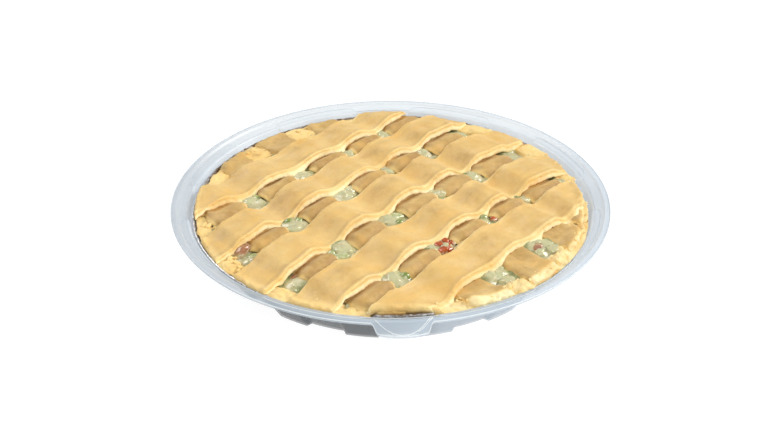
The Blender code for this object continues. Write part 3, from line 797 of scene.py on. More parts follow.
def makeBottomCrust(material):
    # a dough bowl; its rim's section is a soft squared arch from the outer lip to the inner face
    angles = np.linspace(0, 2 * np.pi, 900, endpoint=False)
    thick = rimShare(angles)
    share = smooth((clearOfStrips(angles) - crust["swellFrom"]) / (crust["swellTo"] - crust["swellFrom"]))
    swell = share * thick
    circle = stacked(np.cos(angles), np.sin(angles), 0)
    ripple = noise(circle, 0.09, 21, 2)
    top = crust["pressedTop"] + (crust["bareTop"] - crust["pressedTop"]) * swell * (0.85 + 0.35 * ripple)
    hanging = 0.4 * lowerRight(angles) + 0.4 * swell
    out = crust["radius"] + crust["overhang"] * hanging * (0.9 + 0.3 * ripple)
    out += crust["reachesOut"] * np.maximum(towardsFront(angles), -crust["backShare"])
    out += crust["touchesTray"] * around(angles, "againstTray") * (1 - tinShows(angles))
    out += crust["furtherLeft"] * lowerLeft(angles) + crust["farRight"] * around(angles, "rightBack")
    out -= crust["shortOfTin"] * tinShows(angles)
    uneven = 1 + 0.9 * noise(circle, 0.13, 24, 2)
    drawnIn = crust["drawnIn"] * (1 - share) * (1 - lowerRight(angles))
    out -= crust["trimmed"] * lowerLeft(angles) * uneven + drawnIn
    inner = rimInner(angles)
    floor = tinShape["floor"] + tinShape["sheet"] + touchGap
    shoulder = tinShape["shoulderHeight"] + tinShape["sheet"] + touchGap
    inside = tinShape["baseRadius"] - 1.25 * crust["thickness"]
    rows = [row(r, floor, angles) for r in (20 * mm, 60 * mm, 100 * mm)]
    rows += [row(tinShape["baseRadius"] - 6 * touchGap, floor, angles)]
    rows += [row(tinShape["shoulderRadius"] - 4 * touchGap, shoulder, angles)]
    below = len(rows)
    arch = np.linspace(0, np.pi, 34)
    centre, half = (out + inner) / 2, (out - inner) / 2
    for t in arch:
        foot = crust["lip"] + (crust["rimFoot"] - crust["lip"]) * t / np.pi
        x = np.sign(math.cos(t)) * abs(math.cos(t)) ** 0.7
        arched = math.sin(t) ** 0.55 * (1 - 0.75 * smooth((t / np.pi - 0.45) / 0.5))  # slopes down inwards
        rows.append(row(centre + half * x, foot + (top - foot) * arched, angles))
    above = len(rows)
    rows += [row(inside + 2 * mm, floor + crust["thickness"] + 1.5 * mm, angles)]
    rows += [row(r, floor + crust["thickness"], angles) for r in (inside - 2 * mm, 60 * mm, 20 * mm)]
    points = turnedPoints(np.stack(rows), angles)
    points[..., 0] += lattice["shift"]
    onRim = np.zeros((len(rows), 1))
    onRim[below:above, 0] = np.sin(arch) ** 0.5
    swelling = 0.35 + 0.65 * swell
    lumps = noise(points, 6 * mm, 22, 2)
    crags = -np.abs(noise(points, 3.2 * mm, 23, 2)) + 0.3  # rounded crumbs with creases between them
    push = onRim * (crust["lumps"] * lumps * swelling + crust["crags"] * crags * (0.5 + 0.5 * thick))
    points = insideTray(points + gridNormals(points) * push[..., None])
    flat, faces = closedTurned(points)
    # palest at the lower right and browned at the far left; darker in its creases, as painted shade
    baked = 0.2 + 0.15 * lumps + 0.4 * (1 - thick) + 0.2 * around(angles, "farLeft")
    baked = baked + 0.5 * smooth(-0.3 - crags)
    baked = np.clip(baked, 0, 1) * np.ones_like(push)
    values = {
        "baked": np.append(baked.ravel(), (0.1, 0.1)),
        "along": np.concatenate([points.reshape(-1, 3), np.zeros((2, 3))]),
    }
    return addPiece("bottomCrust", flat, faces, material, values, ["bottom_crust"])


# Tin

def makeTin(material):
    # foil pressed to a dish, with pinched crimps round its rim, whose edge is rolled to a bead
    angles = np.linspace(0, 2 * np.pi, 1440, endpoint=False)
    floor, sheet, bead = tinShape["floor"], tinShape["sheet"], tinShape["bead"]
    forward = np.maximum(towardsFront(angles), -tinShape["backShare"])
    ring = tinShape["radius"] + tinShape["spread"] * forward - bead
    shown = tinShows(angles)
    hidden = lowerRight(angles) * (1 - shown)
    ring += tinShape["outFront"] * shown - tinShape["tucked"] * hidden
    beadHeight = tinShape["beadHeight"] + tinShape["liftedFront"] * shown - tinShape["sunk"] * hidden
    rows = [row(r, floor, angles) for r in (20 * mm, 80 * mm)]
    rows += [row(tinShape["baseRadius"], floor, angles)]
    rows += [row(tinShape["shoulderRadius"], tinShape["shoulderHeight"], angles)]
    rows += [row(ring - bead, beadHeight - bead, angles)]
    for t in np.radians(np.arange(-90, 151, 20)):
        rows.append(row(ring + bead * math.cos(t), beadHeight + bead * math.sin(t), angles))
    rows += [row(ring - bead, beadHeight - bead + sheet, angles)]
    rows += [row(tinShape["shoulderRadius"] - sheet / 2, tinShape["shoulderHeight"] + sheet, angles)]
    rows += [row(tinShape["baseRadius"] - sheet / 2, floor + sheet, angles)]
    rows += [row(r, floor + sheet, angles) for r in (80 * mm, 20 * mm)]
    section = filledRows(rows, 4 * mm)
    points = turnedPoints(section, angles)
    circle = stacked(np.cos(angles), np.sin(angles), 0)
    pinch = np.sin(tinShape["crimps"] * angles + 2.5 * noise(circle, 0.2, 31))
    crinkle = noise(points, 1.8 * mm, 32, 2)
    onRim = smooth((section[..., 0] - tinShape["shoulderRadius"] + 2 * mm) / (5 * mm))
    points[..., 2] += onRim * (tinShape["pinch"] * pinch + (0.2 + 0.2 * shown) * mm * crinkle)
    grow = onRim * (tinShape["crinkle"] * crinkle - 0.5 * tinShape["pinch"] * pinch)
    points[..., :2] *= (1 + grow / np.maximum(section[..., 0], mm))[..., None]
    wall = 1 - smooth((section[..., 0] - tinShape["shoulderRadius"]) / (2 * mm))
    flute = tinShape["flute"] * wall * np.sin(tinShape["crimps"] * angles)
    onWall = smooth((section[..., 1] - 4 * mm) / (8 * mm))
    points[..., :2] *= (1 + flute * onWall / np.maximum(section[..., 0], mm))[..., None]
    points[..., 0] += lattice["shift"] * (1 - onRim)
    points = insideTray(points)
    # partly baked juices, partly painted shade: brown, but for patches of the bead's outer side at the front
    # and left
    bright = smooth((np.cos(angles - math.radians(-115)) + 0.1) / 0.5)
    glint = smooth((noise(points, 2.0 * mm, 33, 2) + 0.4 - 0.4 * shown) / 0.6)
    glint = np.maximum(glint, smooth((np.cos(angles - math.radians(190)) - 0.8) / 0.15))
    outer = smooth((section[..., 0] - ring + bead * (0.1 - 0.6 * shown)) / (0.5 * mm))
    stain = 2.2 - bright * (0.3 + 1.7 * outer * glint)
    flat, faces = closedTurned(points)
    return addPiece("foilTin", flat, faces, material, {"stain": np.append(stain.ravel(), (0, 0))},
                    ["tin"])


# Tray

tray = {
    "radius": 169 * mm,
    "sheet": 0.8 * mm,
    "baseRadius": 133.2 * mm,
    "feet": 16,
    "footDepth": 4.0 * mm,
    "footHalf": math.radians(4.8),
    "footFlank": math.radians(1.1),
    "shelfHeight": 30.1 * mm,
    "shelfInner": 150.2 * mm,
    "shelfOuter": 154.5 * mm,
    "ledgeHeight": 37.4 * mm,
    "ledgeInner": 156.8 * mm,
    "ledgeSlope": 2.8 * mm,  # how much lower its inner edge is
    "ledgeOuter": 163.2 * mm,
    "flangeHeight": 39.0 * mm,
    "crestRadius": 164.6 * mm,
    "edgeHeight": 38.4 * mm,
    "edgeDepth": 1.4 * mm,
    "tabAngle": math.radians(-90),
    "tabReach": 10.5 * mm,
    "tabHalf": 20.5 * mm,
    "tabFlatHalf": 15.0 * mm,
    "tabDrop": 2.4 * mm,
    "lugs": 8,
    "lugHalf": math.radians(13.25),
    "lugFlank": math.radians(0.6),
    "lugDepth": 1.1 * mm,
    "bend": 0.5 * mm,  # how softly the sheet bends at its corners
}


def trayEdge(angles):
    # the radius and height of the flange's edge, further out and lower round the tab
    turn = (angles - tray["tabAngle"] + np.pi) % (2 * np.pi) - np.pi
    fromTab = np.abs(turn) * tray["radius"]
    tab = smooth((tray["tabHalf"] - fromTab) / (tray["tabHalf"] - tray["tabFlatHalf"]))
    bulge = 0.82 + 0.18 * (1 - np.minimum(fromTab / tray["tabFlatHalf"], 1) ** 2)
    return tray["radius"] + tray["tabReach"] * tab * bulge, tray["edgeHeight"] - tray["tabDrop"] * tab


def makeTray(material):
    # a sheet of one thickness all the way: the outside from its middle out to the lip, then the inside back
    angles = np.linspace(0, 2 * np.pi, 1200, endpoint=False)
    step = 2 * np.pi / tray["feet"]
    fromFoot = np.abs((angles - tray["tabAngle"]) % step - step / 2)
    foot = smooth((tray["footHalf"] + tray["footFlank"] - fromFoot) / tray["footFlank"])
    base = tray["baseRadius"] - tray["footDepth"] * (1 - foot)
    edge, edgeHeight = trayEdge(angles)
    lugStep = 2 * np.pi / tray["lugs"]
    fromLug = np.abs((angles - tray["tabAngle"]) % lugStep - lugStep / 2)
    lug = smooth((tray["lugHalf"] + tray["lugFlank"] - fromLug) / tray["lugFlank"])
    sheet = tray["sheet"]
    ledgeIn = tray["ledgeInner"] - tray["lugDepth"] * lug
    shelfOut = tray["shelfOuter"] - 0.5 * tray["lugDepth"] * lug
    corners = [
        (30 * mm, 0), (80 * mm, 0), (base - 3 * mm, 0),
        (base, 0),
        (tray["shelfInner"] + sheet, tray["shelfHeight"] - sheet),
        (shelfOut + sheet, tray["shelfHeight"] - sheet),
        (ledgeIn + sheet, tray["ledgeHeight"] - tray["ledgeSlope"] - sheet),
        (tray["ledgeOuter"] + sheet / 2, tray["ledgeHeight"] - sheet),
        (tray["crestRadius"] + sheet / 2, tray["flangeHeight"] - sheet),
        (edge - sheet / 2, edgeHeight - tray["edgeDepth"]),
        (edge, edgeHeight),
        (tray["radius"] - 2 * sheet, tray["flangeHeight"]),
        (tray["crestRadius"], tray["flangeHeight"]),
        (tray["ledgeOuter"], tray["ledgeHeight"]),
        (ledgeIn, tray["ledgeHeight"] - tray["ledgeSlope"]),
        (shelfOut, tray["shelfHeight"]),
        (tray["shelfInner"], tray["shelfHeight"]),
        (base - 1.2 * sheet, sheet),
        (base - 4 * mm, sheet), (80 * mm, sheet), (30 * mm, sheet),
    ]
    rows = roundedRows([row(r, z, angles) for r, z in corners], tray["bend"])
    section = filledRows(rows, 3 * mm)
    radius, height = section[..., 0], section[..., 1]
    # the sheet is a little whiter at its bends, and whiter all over at the back, as painted light
    bent = sum(np.exp(-((radius - at) / (0.5 * mm)) ** 2) for at in (tray["crestRadius"], tray["ledgeOuter"]))
    bent = bent + np.exp(-((radius - edge) / (0.8 * mm)) ** 2)
    bent = bent + 0.8 * foot * (radius < base + 1.2 * mm) * (radius > base - 1.0 * mm)
    white = 0.12 * np.clip(bent, 0, 1) * np.ones_like(radius) + 0.4 * smooth((np.sin(angles) - 0.2) / 0.6)
    points = turnedPoints(section, angles)
    flat, faces = closedTurned(points)
    # painted shade: its walls are a little darker, and much darker at the lower left; its flange is darker at
    # the left
    shaded = smooth((np.cos(angles - math.radians(-128)) - 0.62) / 0.18)
    dark = smooth((tray["shelfHeight"] - 2 * mm - height) / (3 * mm)) * (0.06 + 0.94 * shaded)
    onFlange = smooth((radius - tray["ledgeInner"]) / (2 * mm))
    dark = np.maximum(dark, 0.27 * smooth((-np.cos(angles) + 0.1) / 0.8) * onFlange)
    values = {"white": np.append(white.ravel(), (0, 0)), "dark": np.append(dark.ravel(), (1, 1))}
    return addPiece("clearTray", flat, faces, material, values, ["tray"])


def flangeHeight(radius, edge, edgeHeight):
    # the height of the tray's upper side at a radius, from the ledge out to the edge
    known = np.array((tray["ledgeInner"], tray["ledgeOuter"], tray["crestRadius"],
                      tray["radius"] - 2 * tray["sheet"]))
    heights = (tray["ledgeHeight"] - tray["ledgeSlope"], tray["ledgeHeight"], tray["flangeHeight"],
               tray["flangeHeight"])
    slope = (radius - known[-1]) / (edge - known[-1])
    beyond = tray["flangeHeight"] + np.clip(slope, 0, 1) * (edgeHeight - tray["flangeHeight"])
    return np.where(radius > known[-1], beyond, np.interp(radius, known, heights))


trayLines = {
    "inner": 157.6 * mm,
    "innerHalf": 0.28 * mm,
    "fromEdge": 0.6 * mm,
    "edgeHalf": 0.5 * mm,
    "lug": 161.6 * mm,
    "lugEnds": 2.4 * mm,  # how far each lug's line turns in at its ends
    "lugHalf": 0.3 * mm,
    "tabFoot": 7.8 * mm,  # how far inside the flange's edge the tab's arc starts
    "tabRise": 6.6 * mm,
    "tabHalf": 0.5 * mm,
    "besideTab": 1.5 * mm,
    "besideHalf": 0.4 * mm,
    "raised": 0.1 * mm,
}


def makeTrayLines(material):
    # raised lines moulded on the flange, on each lug, and in an arc across the tab: an oval section carried
    # along a path of angles and radii
    back = math.radians(90)
    allRound = np.linspace(back, back + 2 * np.pi, 700)
    paths = [(allRound, np.full(allRound.shape, trayLines["inner"]), trayLines["innerHalf"])]
    paths.append((allRound, trayEdge(allRound)[0] - trayLines["fromEdge"], trayLines["edgeHalf"]))
    turnedIn = trayLines["lugEnds"] * np.abs(np.linspace(-1, 1, 60)) ** 16
    for number in range(tray["lugs"]):
        middleOf = tray["tabAngle"] + (number + 0.5) * 2 * np.pi / tray["lugs"]
        here = np.linspace(middleOf - tray["lugHalf"], middleOf + tray["lugHalf"], 60)
        paths.append((here, trayLines["lug"] - turnedIn, trayLines["lugHalf"]))
    across = np.linspace(-tray["tabHalf"], tray["tabHalf"], 90)
    rise = (tray["tabReach"] + trayLines["tabRise"]) * (1 - (across / tray["tabHalf"]) ** 2)
    bowed = tray["radius"] - trayLines["tabFoot"] + rise
    paths.append((tray["tabAngle"] + across / bowed, bowed, trayLines["tabHalf"]))
    beside = slice(62, 86)  # a second, shorter line beside it on the right
    shifted = (across[beside] + trayLines["besideTab"]) / bowed[beside]
    paths.append((tray["tabAngle"] + shifted, bowed[beside], trayLines["besideHalf"]))
    turn = np.linspace(0, 2 * np.pi, 8, endpoint=False)
    pieces, faces, count, pale = [], [[], []], 0, []
    for angle, radius, half in paths:
        edge, edgeHeight = (v[:, None] for v in trayEdge(angle))
        at = radius[:, None] + half * np.cos(turn)
        z = flangeHeight(radius[:, None], edge, edgeHeight) + trayLines["raised"] + 0.7 * half * np.sin(turn)
        flat, made = closedTurned(stacked(at * np.cos(angle[:, None]), at * np.sin(angle[:, None]), z))
        pieces.append(flat)
        nearness = smooth((-np.sin(angle) - 0.6) / 0.3)  # the lines are whitest at the front
        pale.append(np.append(np.repeat(nearness, len(turn)), nearness[[0, -1]]))
        for kept, new in zip(faces, made):
            kept.append(new + count)
        count += len(flat)
    pale = np.concatenate(pale)
    values = {"white": 0.3 + 0.7 * pale, "dark": 0 * pale}
    return addPiece("trayLines", np.concatenate(pieces), [np.concatenate(f) for f in faces], material,
                    values, ["tray"])


# Filling

fillingLook = {
    "height": 30.9 * mm,  # the sauce in an opening, at the pie's edge
    "domeShare": 0.85,
    "edgeDrop": 1.0 * mm,  # lower in the outermost openings
    "outerOpening": 20 * mm,
    "waves": 0.7 * mm,
    "ripples": 0.3 * mm,
    "clings": 1.3 * mm,  # how far the sauce climbs beside the strips
    "pieceRise": 4.3 * mm,  # how far the largest pieces stand out of the sauce
    "seed": 5,
}
# What shows in each opening. The opening is the one after that many lower and upper strips, and each piece
# has its kind, its place across the opening along a and b, and half its length in mm.
openings = {
    (0, 4): [("celery", 0.7, 0.5, 4.0), ("coated", 0.9, 0.2, 5.0)],
    (0, 3): [("chicken", 0.62, 0.9, 7.0), ("celery", 0.75, 0.3, 5.0), ("coated", 0.4, 0.25, 5.5)],
    (0, 2): [("coated", 0.7, 0.6, 8.0), ("chicken", 0.85, 0.85, 4.0), ("celery", 0.5, 0.3, 4.0)],
    (0, 1): [("celery", 0.75, 0.4, 4.0), ("coated", 0.9, 0.75, 4.5), ("coated", 0.55, 0.7, 3.6)],
    (1, 4): [("coated", 0.40, 0.65, 6.5), ("coated", 0.62, 0.35, 4.2), ("celery", 0.78, 0.8, 4.4)],
    (1, 3): [("coated", 0.48, 0.55, 9.6), ("pea", 0.47, 0.88, 3.8), ("pea", 0.75, 0.62, 3.8)],
    (1, 2): [("coated", 0.62, 0.7, 8.2), ("celery", 0.3, 0.4, 6.0), ("pea", 0.2, 0.75, 3.6)],
    (1, 1): [("coated", 0.45, 0.6, 8.5), ("pea", 0.8, 0.45, 4.2), ("celery", 0.75, 0.8, 5.5)],
    (2, 4): [("coated", 0.45, 0.5, 8.2), ("celery", 0.8, 0.6, 4.0)],
    (2, 3): [("coated", 0.4, 0.55, 9.0), ("coated", 0.8, 0.7, 5.5)],
    (2, 2): [("coated", 0.35, 0.6, 8.0), ("celery", 0.68, 0.6, 7.0), ("pea", 0.5, 0.2, 3.8)],
    (2, 1): [("carrot", 0.30, 0.40, 3.3), ("carrot", 0.48, 0.32, 3.0), ("carrot", 0.60, 0.52, 2.6),
             ("carrot", 0.45, 0.78, 3.0), ("carrot", 0.74, 0.76, 2.8), ("carrot", 0.82, 0.50, 2.4),
             ("coated", 0.12, 0.75, 6.0), ("coated", 0.6, 1.0, 4.5), ("coated", 0.55, 0.55, 5.0)],
    (2, 0): [("coated", 0.28, 0.85, 7.0), ("coated", 0.62, 0.72, 6.2), ("coated", 0.8, 0.9, 5.0),
             ("coated", 0.55, 0.25, 5.5)],
    (3, 4): [("coated", 0.5, 0.5, 6.0), ("pea", 0.3, 0.8, 3.2)],
    (3, 3): [("coated", 0.5, 0.6, 6.5), ("chicken", 0.75, 0.85, 3.4)],
    (3, 2): [("coated", 0.5, 0.6, 7.5), ("celery", 0.3, 0.3, 4.0)],
    (3, 1): [("coated", 0.25, 0.6, 4.5), ("pea", 0.5, 0.8, 3.6), ("carrot", 0.72, 0.45, 2.6),
             ("celery", 0.5, 0.4, 4.0)],
    (3, 0): [("coated", 0.22, 0.88, 5.5), ("coated", 0.52, 0.92, 6.0), ("coated", 0.75, 0.62, 6.6),
             ("coated", 0.3, 0.5, 5.5), ("chicken", 0.42, 0.68, 5.4), ("coated", 0.75, 0.2, 6.0)],
    (4, 4): [("coated", 0.5, 0.5, 6.0)],
    (4, 3): [("coated", 0.5, 0.6, 6.5), ("chicken", 0.3, 0.8, 3.6)],
    (4, 2): [("coated", 0.5, 0.6, 7.5), ("pea", 0.25, 0.75, 3.4)],
    (4, 1): [("coated", 0.45, 0.6, 5.5), ("coated", 0.8, 0.6, 4.5)],
    (5, 3): [("coated", 0.2, 0.5, 6.0)],
    (5, 2): [("coated", 0.3, 0.5, 7.0), ("celery", 0.15, 0.85, 4.0)],
    (5, 1): [("coated", 0.3, 0.6, 6.0)],
}


def sauceLevel(a, b):
    angle = np.arctan2(b, a) + lattice["turn"]
    drop = fillingLook["edgeDrop"] * smooth((np.hypot(a, b) - 118 * mm) / (18 * mm)) * (1 - lowerRight(angle))
    return fillingLook["height"] + fillingLook["domeShare"] * dome(a, b) - drop


def inOpening(i, j, shareA, shareB):
    # a place in an opening, by its share of the way across along a and along b, from the strips' edges
    # round it, which themselves depend a little on the place
    a = b = 0.0
    for _ in range(6):
        place = []
        for strips, along, number, share in ((underStrips, b, i, shareA), (overStrips, a, j, shareB)):
            edges = [middle(strip, along) + side * halfWidth(strip) for strip in strips for side in (-1, 1)]
            outer = fillingLook["outerOpening"]
            low, high = [edges[0] - outer, *edges, edges[-1] + outer][2 * number:2 * number + 2]
            place.append(low + (high - low) * share)
        a, b = place
    inwards = min(1, (rimInner(math.atan2(b, a) + lattice["turn"]) + 1.5 * mm) / math.hypot(a, b))
    return a * inwards, b * inwards


pieceKinds = {
    # share of the length in width and height, how square, how lumpy, how much stands out of the sauce, at
    # most what share of pieceRise, how far the sauce rises over it, and the rows and columns of its grid
    "coated": {"name": "chickenCoated", "form": (1.0, 0.82, 0.55), "square": 0.90, "lumps": 0.22,
               "out": 0.62, "most": 0.95, "cover": 0.86, "grid": (40, 60)},
    "chicken": {"name": "chickenBare", "form": (1.0, 0.7, 0.52), "square": 0.75, "lumps": 0.24,
                "out": 0.75, "most": 1.35, "cover": 0.4, "grid": (40, 60)},
    "celery": {"name": "celeryBits", "form": (1.0, 0.7, 0.55), "square": 0.60, "lumps": 0.12,
               "out": 0.42, "most": 1.1, "cover": 0.6, "grid": (24, 40)},
    "carrot": {"name": "carrotCubes", "form": (1.0, 0.85, 0.80), "square": 0.45, "lumps": 0.07,
               "out": 0.85, "most": 1.1, "cover": 0.4, "grid": (28, 40)},
    "pea": {"name": "peas", "form": (1.0, 1.0, 0.95), "square": 1.0, "lumps": 0.04,
            "out": 0.62, "most": 1.1, "cover": 0.55, "grid": (20, 32)},
}


def scatterPieces(rng):
    # every piece of the filling that shows: its kind, middle, half sizes and turn
    found = {kind: [] for kind in pieceKinds}
    for (i, j), pieces in openings.items():
        for kind, shareA, shareB, half in pieces:
            a, b = inOpening(i, j, shareA, shareB)
            look = pieceKinds[kind]
            half = half * mm * rng.uniform(0.95, 1.05) * (1.05 if kind == "coated" else 1.0)
            tall = half * look["form"][2]
            stands = min(look["out"] * 2 * tall, fillingLook["pieceRise"] * look["most"])
            z = sauceLevel(a, b) + stands - tall
            found[kind].append((a, b, z, half, rng.uniform(0, np.pi), rng.uniform(-0.3, 0.3)))
    return {kind: np.array(rows) for kind, rows in found.items()}


def blobPoints(pieces, look, rows, columns, seed):
    # Rounded lumps, all at once: a ball's points with their coordinates raised to the power `square`, which
    # squares it up, stretched to its three sizes, made lumpy by noise, then tilted and turned
    polar = np.linspace(0, np.pi, rows + 2)[1:-1, None]
    circle = np.linspace(0, 2 * np.pi, columns, endpoint=False)[None, :]
    ball = stacked(np.sin(polar) * np.cos(circle), np.sin(polar) * np.sin(circle), np.cos(polar))
    ball = np.concatenate([ball.reshape(-1, 3), [(0, 0, 1), (0, 0, -1)]])
    squared = np.sign(ball) * np.abs(ball) ** look["square"]
    a, b, z, half, turn, tilt = (v[:, None] for v in pieces.T)
    bumps = noise(ball[None] + np.arange(len(pieces))[:, None, None] * 7.3, 0.9, seed, 3)
    local = squared[None] * (1 + look["lumps"] * bumps)[..., None] * half[..., None] * np.array(look["form"])
    x, y, up = np.moveaxis(local, -1, 0)
    x, up = x * np.cos(tilt) + up * np.sin(tilt), up * np.cos(tilt) - x * np.sin(tilt)
    x, y = x * np.cos(turn) - y * np.sin(turn), x * np.sin(turn) + y * np.cos(turn)
    points = toWorld(a + x, b + y, z + up)
    grid = gridFaces(rows, columns)
    last = (rows - 1) * columns
    caps = np.concatenate([fanFaces(np.arange(columns), rows * columns)[:, ::-1],
                           fanFaces(last + np.arange(columns), rows * columns + 1)])
    starts = np.arange(len(pieces))[:, None, None] * len(ball)
    faces = [(grid[None] + starts).reshape(-1, 4), (caps[None] + starts).reshape(-1, 3)]
    return points.reshape(-1, 3), faces, (up / np.maximum(half, mm)).ravel()


def makeFillingPieces(found, materials):
    for seed, (kind, pieces) in enumerate(found.items(), 60):
        look = pieceKinds[kind]
        points, faces, up = blobPoints(pieces, look, *look["grid"], seed)
        addPiece(look["name"], points, faces, materials[kind], {"tint": 0.25 * up}, ["filling"])


def underStripsHere(a, b):
    # the lowest strip bottom over each point, and far up where no strip is over it
    lowest = np.full(a.shape, 1.0)
    for strip in underStrips:
        here = np.abs(a - middle(strip, b)) < halfWidth(strip) - 2 * mm
        lowest = np.where(here, np.minimum(lowest, underBottom(a, b)), lowest)
    for strip in overStrips:
        here = np.abs(b - middle(strip, a)) < halfWidth(strip) - 2 * mm
        lowest = np.where(here, np.minimum(lowest, overBottom(a, b, strip)), lowest)
    return lowest


def makeSauce(found, material):
    # The pie's whole inside: a disc whose top rises over each piece as a flat dome and never into a strip,
    # over the bowl of the bottom crust
    angles = np.linspace(0, 2 * np.pi, 800, endpoint=False)
    reach = rimInner(angles) + 3 * mm  # it laps onto the rim's inner slope
    radii = np.linspace(0.01, 1, 190)[:, None] * reach
    a, b = radii * np.cos(angles - lattice["turn"]), radii * np.sin(angles - lattice["turn"])
    flatPoints = stacked(a, b, 0)
    rise = 0 * a
    green = 0 * a
    for kind, pieces in found.items():
        look = pieceKinds[kind]
        for pa, pb, pz, half, *_ in pieces:
            far = np.hypot(a - pa, b - pb) / (1.18 * half)
            swell = np.where(far < 1, np.cos(np.minimum(far, 1) * np.pi / 2), 0) ** 0.6
            topOfPiece = pz + half * look["form"][2]
            rise = np.maximum(rise, look["cover"] * swell * (topOfPiece - sauceLevel(pa, pb)))
            if kind in ("pea", "celery"):
                green = np.maximum(green, 0.3 * np.exp(-far ** 2))
    top = sauceLevel(a, b) + rise
    top += fillingLook["waves"] * noise(flatPoints, 9 * mm, 41, 2)
    top += fillingLook["ripples"] * noise(flatPoints, 3 * mm, 42)
    beside = np.maximum(besideStrips(a, b), 0)
    top += fillingLook["clings"] * np.exp(-beside / (1.5 * mm))
    top = np.minimum(top, underStripsHere(a, b) - 1.5 * touchGap)
    top = top + smooth((radii - reach + 3 * mm) / (3 * mm)) * (crust["rimFoot"] + 0.4 * mm - top)
    disc = toWorld(a, b, top)
    floor = tinShape["floor"] + tinShape["sheet"] + 2 * touchGap + crust["thickness"]
    inside = tinShape["baseRadius"] - 1.25 * crust["thickness"]
    side = [row(reach - 4.5 * mm, crust["rimFoot"] - 2 * mm, angles), row(inside, floor, angles),
            row(90 * mm, floor, angles), row(30 * mm, floor, angles)]
    below = turnedPoints(filledRows(side, 6 * mm), angles)
    below[..., 0] += lattice["shift"]
    points = np.concatenate([disc, below])
    flat, faces = closedTurned(points)
    # painted shade: the sauce is darker in its corners beside the strips
    deep = 0.3 * np.exp(-np.maximum(beside - mm, 0) / (2 * mm))  # darker in the corners
    tint = np.concatenate([(green + deep - 0.1).ravel(), np.zeros(below.shape[0] * below.shape[1] + 2)])
    return addPiece("creamSauce", flat, faces, material, {"tint": tint}, ["filling"])


# Crumbs

crumbs = {
    # how many, their direction in degrees and its spread in radians, the radii that they lie between and
    # their half lengths in mm, how wide and how lumpy they are, how baked, and their grid's rows and columns
    "doughCrumbs": {"count": 80, "centre": -52, "spread": 0.45, "radii": (144, 150.5), "halves": (0.5, 1.2),
                    "wide": 0.75, "lumps": 0.25, "baked": 0.24, "grid": (8, 12)},
    "doughLumps": {"count": 52, "centre": -50, "spread": 0.42, "radii": (141, 150), "halves": (1.8, 4.0),
                   "wide": 0.75, "lumps": 0.45, "baked": 0.24, "grid": (30, 44)},
    "doughScraps": {"count": 10, "centre": 136, "spread": 0.40, "radii": (138, 145), "halves": (1.6, 2.8),
                    "wide": 0.6, "lumps": 0.12, "baked": 0.6, "grid": (30, 44)},
    "doughBits": {"count": 22, "centre": 206, "spread": 0.20, "radii": (139, 148), "halves": (1.8, 3.4),
                  "wide": 0.6, "lumps": 0.12, "baked": 0.6, "grid": (30, 44)},
}


def makeCrumbs(rng, material):
    # crumbs that broke off where the strips were trimmed, larger broken lumps along the rim at the lower
    # right, and browner scraps and bits at the far left and the left
    for name, crumb in crumbs.items():
        count = crumb["count"]
        angle = rng.normal(math.radians(crumb["centre"]), crumb["spread"], count) - lattice["turn"]
        radius = rng.uniform(*crumb["radii"], count) * mm
        a, b = radius * np.cos(angle), radius * np.sin(angle)
        half = rng.uniform(*crumb["halves"], count) * mm
        clear = clearOfStrips(angle + lattice["turn"])
        onStrip = crust["pressedTop"] + lattice["endThickness"] - 0.3 * half
        z = np.where(clear > 0, crust["pressedTop"] + 1.2 * mm, onStrip) - 0.2 * half
        turned, tilt = rng.uniform(0, np.pi, count), rng.uniform(-0.5, 0.5, count)
        pieces = np.stack([a, b, z, half, turned, tilt], axis=-1)
        if name != "doughCrumbs":
            pieces = pieces[clear > -1 * mm]
        look = {"form": (1.0, crumb["wide"], 0.5), "square": 0.7, "lumps": crumb["lumps"]}
        points, faces, _ = blobPoints(pieces, look, *crumb["grid"], 90)
        values = {"baked": np.full(len(points), crumb["baked"]), "along": points}
        addPiece(name, points, faces, material, values)


# Everything in order

def makePie():
    rng = np.random.default_rng(fillingLook["seed"])
    overDough = doughMaterial("shortcrustRolledUpper", doughLook["browned"], 0.45, 0.32)
    # the lower strips' darker tone is partly painted shade
    underDough = doughMaterial("shortcrustRolledLower", doughLook["browner"], 0.3, 0.34)
    rimDough = doughMaterial("shortcrustRim", doughLook["golden"], 0.1, 0.2)
    wet = {
        "coated": wetMaterial("chickenInCreamSauce", "#D2CAA6", "#B4AA80", "#C2C198", 0.7, 0.13),
        "chicken": wetMaterial("chickenPoached", "#B98A66", "#8A553B", "#BFB691", 0.47, 0.3),
        "celery": wetMaterial("celeryStewed", "#AEB67E", "#929E60", "#C4C69C", 0.66, 0.16),
        "carrot": wetMaterial("carrotStewed", "#D0662C", "#8C3A26", "#E0C8AC", 0.5, 0.3),
        "pea": wetMaterial("peasStewed", "#87964E", "#6B7A3A", "#B9BE90", 0.66, 0.2),
    }
    makeTray(clearPlasticMaterial("polypropyleneMoulded", 0.48))
    makeTrayLines(clearPlasticMaterial("polypropyleneThicker", 0.62))
    makeTin(foilMaterial())
    print("tray and tin made")
    makeBottomCrust(rimDough)
    found = scatterPieces(rng)
    makeSauce(found, creamSauceMaterial())
    makeFillingPieces(found, wet)
    print("bottom crust and filling made")
    for number, strip in enumerate(underStrips, 1):
        makeStrip(f"lowerStrip{number}", strip, underBottom, lowerForm, 100 + number, underDough,
                  f"under_strip_{number}")
    for number, strip in enumerate(overStrips, 1):
        form = upperForm if number > 1 else firstForm
        makeStrip(f"upperStrip{number}", strip, overBottom, form, 200 + number, overDough,
                  f"over_strip_{number}")
    makeCrumbs(rng, rimDough)
    print("strips and crumbs made")


# Studio

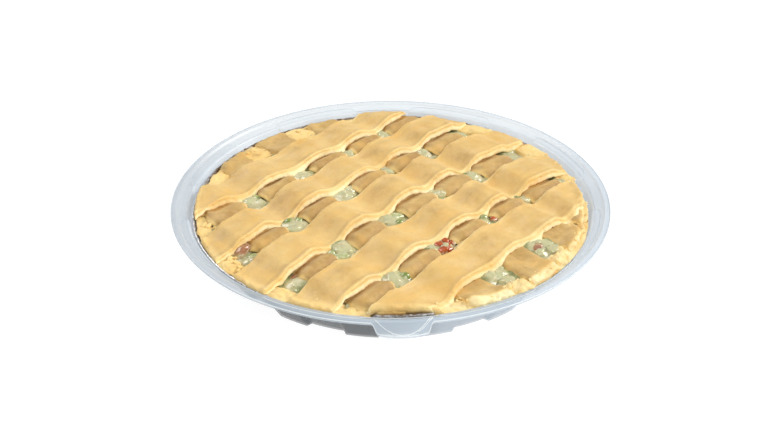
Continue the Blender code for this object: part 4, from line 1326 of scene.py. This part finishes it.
studio = {
    "floorSize": 6.0,
    "floorColour": "#7D7E7F",
    "floorGlow": 0.92,
    "sky": "#F3F6FB",
    "skyStrength": 0.207,
    # each softbox: its place, its width and its power in watts
    "softboxes": (
        ("softboxRight", (2.2, 0.65, 1.65), 1.2, 64.0),
        ("softboxFront", (0.3, -1.5, 0.85), 1.2, 19.0),
        ("softboxBack", (-0.8, 0.6, 1.1), 0.85, 12.0),
    ),
}


def softLight(name, place, size, power):
    lamp = bpy.data.lights.new(name, "AREA")
    lamp.size = size
    lamp.energy = power
    lamp.color = (1.0, 0.99, 0.97)
    light = bpy.data.objects.new(name, lamp)
    light.location = place
    x, y, z = place
    light.rotation_euler = (math.atan2(math.hypot(x, y), z), 0, math.atan2(y, x) + math.pi / 2)
    bpy.context.scene.collection.objects.link(light)


def makeStudio():
    half = studio["floorSize"]
    corners = np.array([(-half, -half, 0), (half, -half, 0), (half, half, 0), (-half, half, 0)])
    mesh = bpy.data.meshes.new("studioFloor")
    mesh.from_pydata((corners - (0, 0, 0.2 * mm)).tolist(), [], [(0, 1, 2, 3)])
    # matt painted board: an even pale floor, lit from below as on a light table
    paint = newMaterial("paintedBoardMatt")
    shader = addNode(paint, "BsdfPrincipled", {
        "Base Color": colour(studio["floorColour"]), "Roughness": 0.9, "Specular IOR Level": 0.1,
        "Emission Color": colour("#FFFFFF"), "Emission Strength": studio["floorGlow"]})
    addNode(paint, "OutputMaterial", links={"Surface": shader.outputs[0]})
    mesh.materials.append(paint)
    floor = bpy.data.objects.new("studioFloor", mesh)
    bpy.context.scene.collection.objects.link(floor)
    world = bpy.data.worlds.new("softbox")
    world.use_nodes = True
    background = world.node_tree.nodes["Background"]
    background.inputs["Color"].default_value = colour(studio["sky"])
    background.inputs["Strength"].default_value = studio["skyStrength"]
    bpy.context.scene.world = world
    for softbox in studio["softboxes"]:
        softLight(*softbox)
    bpy.context.scene.view_settings.view_transform = "Standard"


viewpoint = {
    "lens": 50.049,  # mm, on a sensor this wide
    "sensor": 36.0,
    "place": (-0.0338, -0.7312, 0.4608),
    "turn": (58.6832, 0.0169, -2.6222),  # degrees about X, Y and Z
}


def makeCamera():
    # the photograph's viewpoint: 30 degrees above the pie's rim and a little to its left
    lens = bpy.data.cameras.new("photoCamera")
    lens.lens = viewpoint["lens"]
    lens.sensor_width = viewpoint["sensor"]
    camera = bpy.data.objects.new("photoCamera", lens)
    camera.location = viewpoint["place"]
    camera.rotation_euler = [math.radians(v) for v in viewpoint["turn"]]
    bpy.context.scene.collection.objects.link(camera)
    bpy.context.scene.camera = camera


makePie()
makeStudio()
makeCamera()
print("studio and camera made")
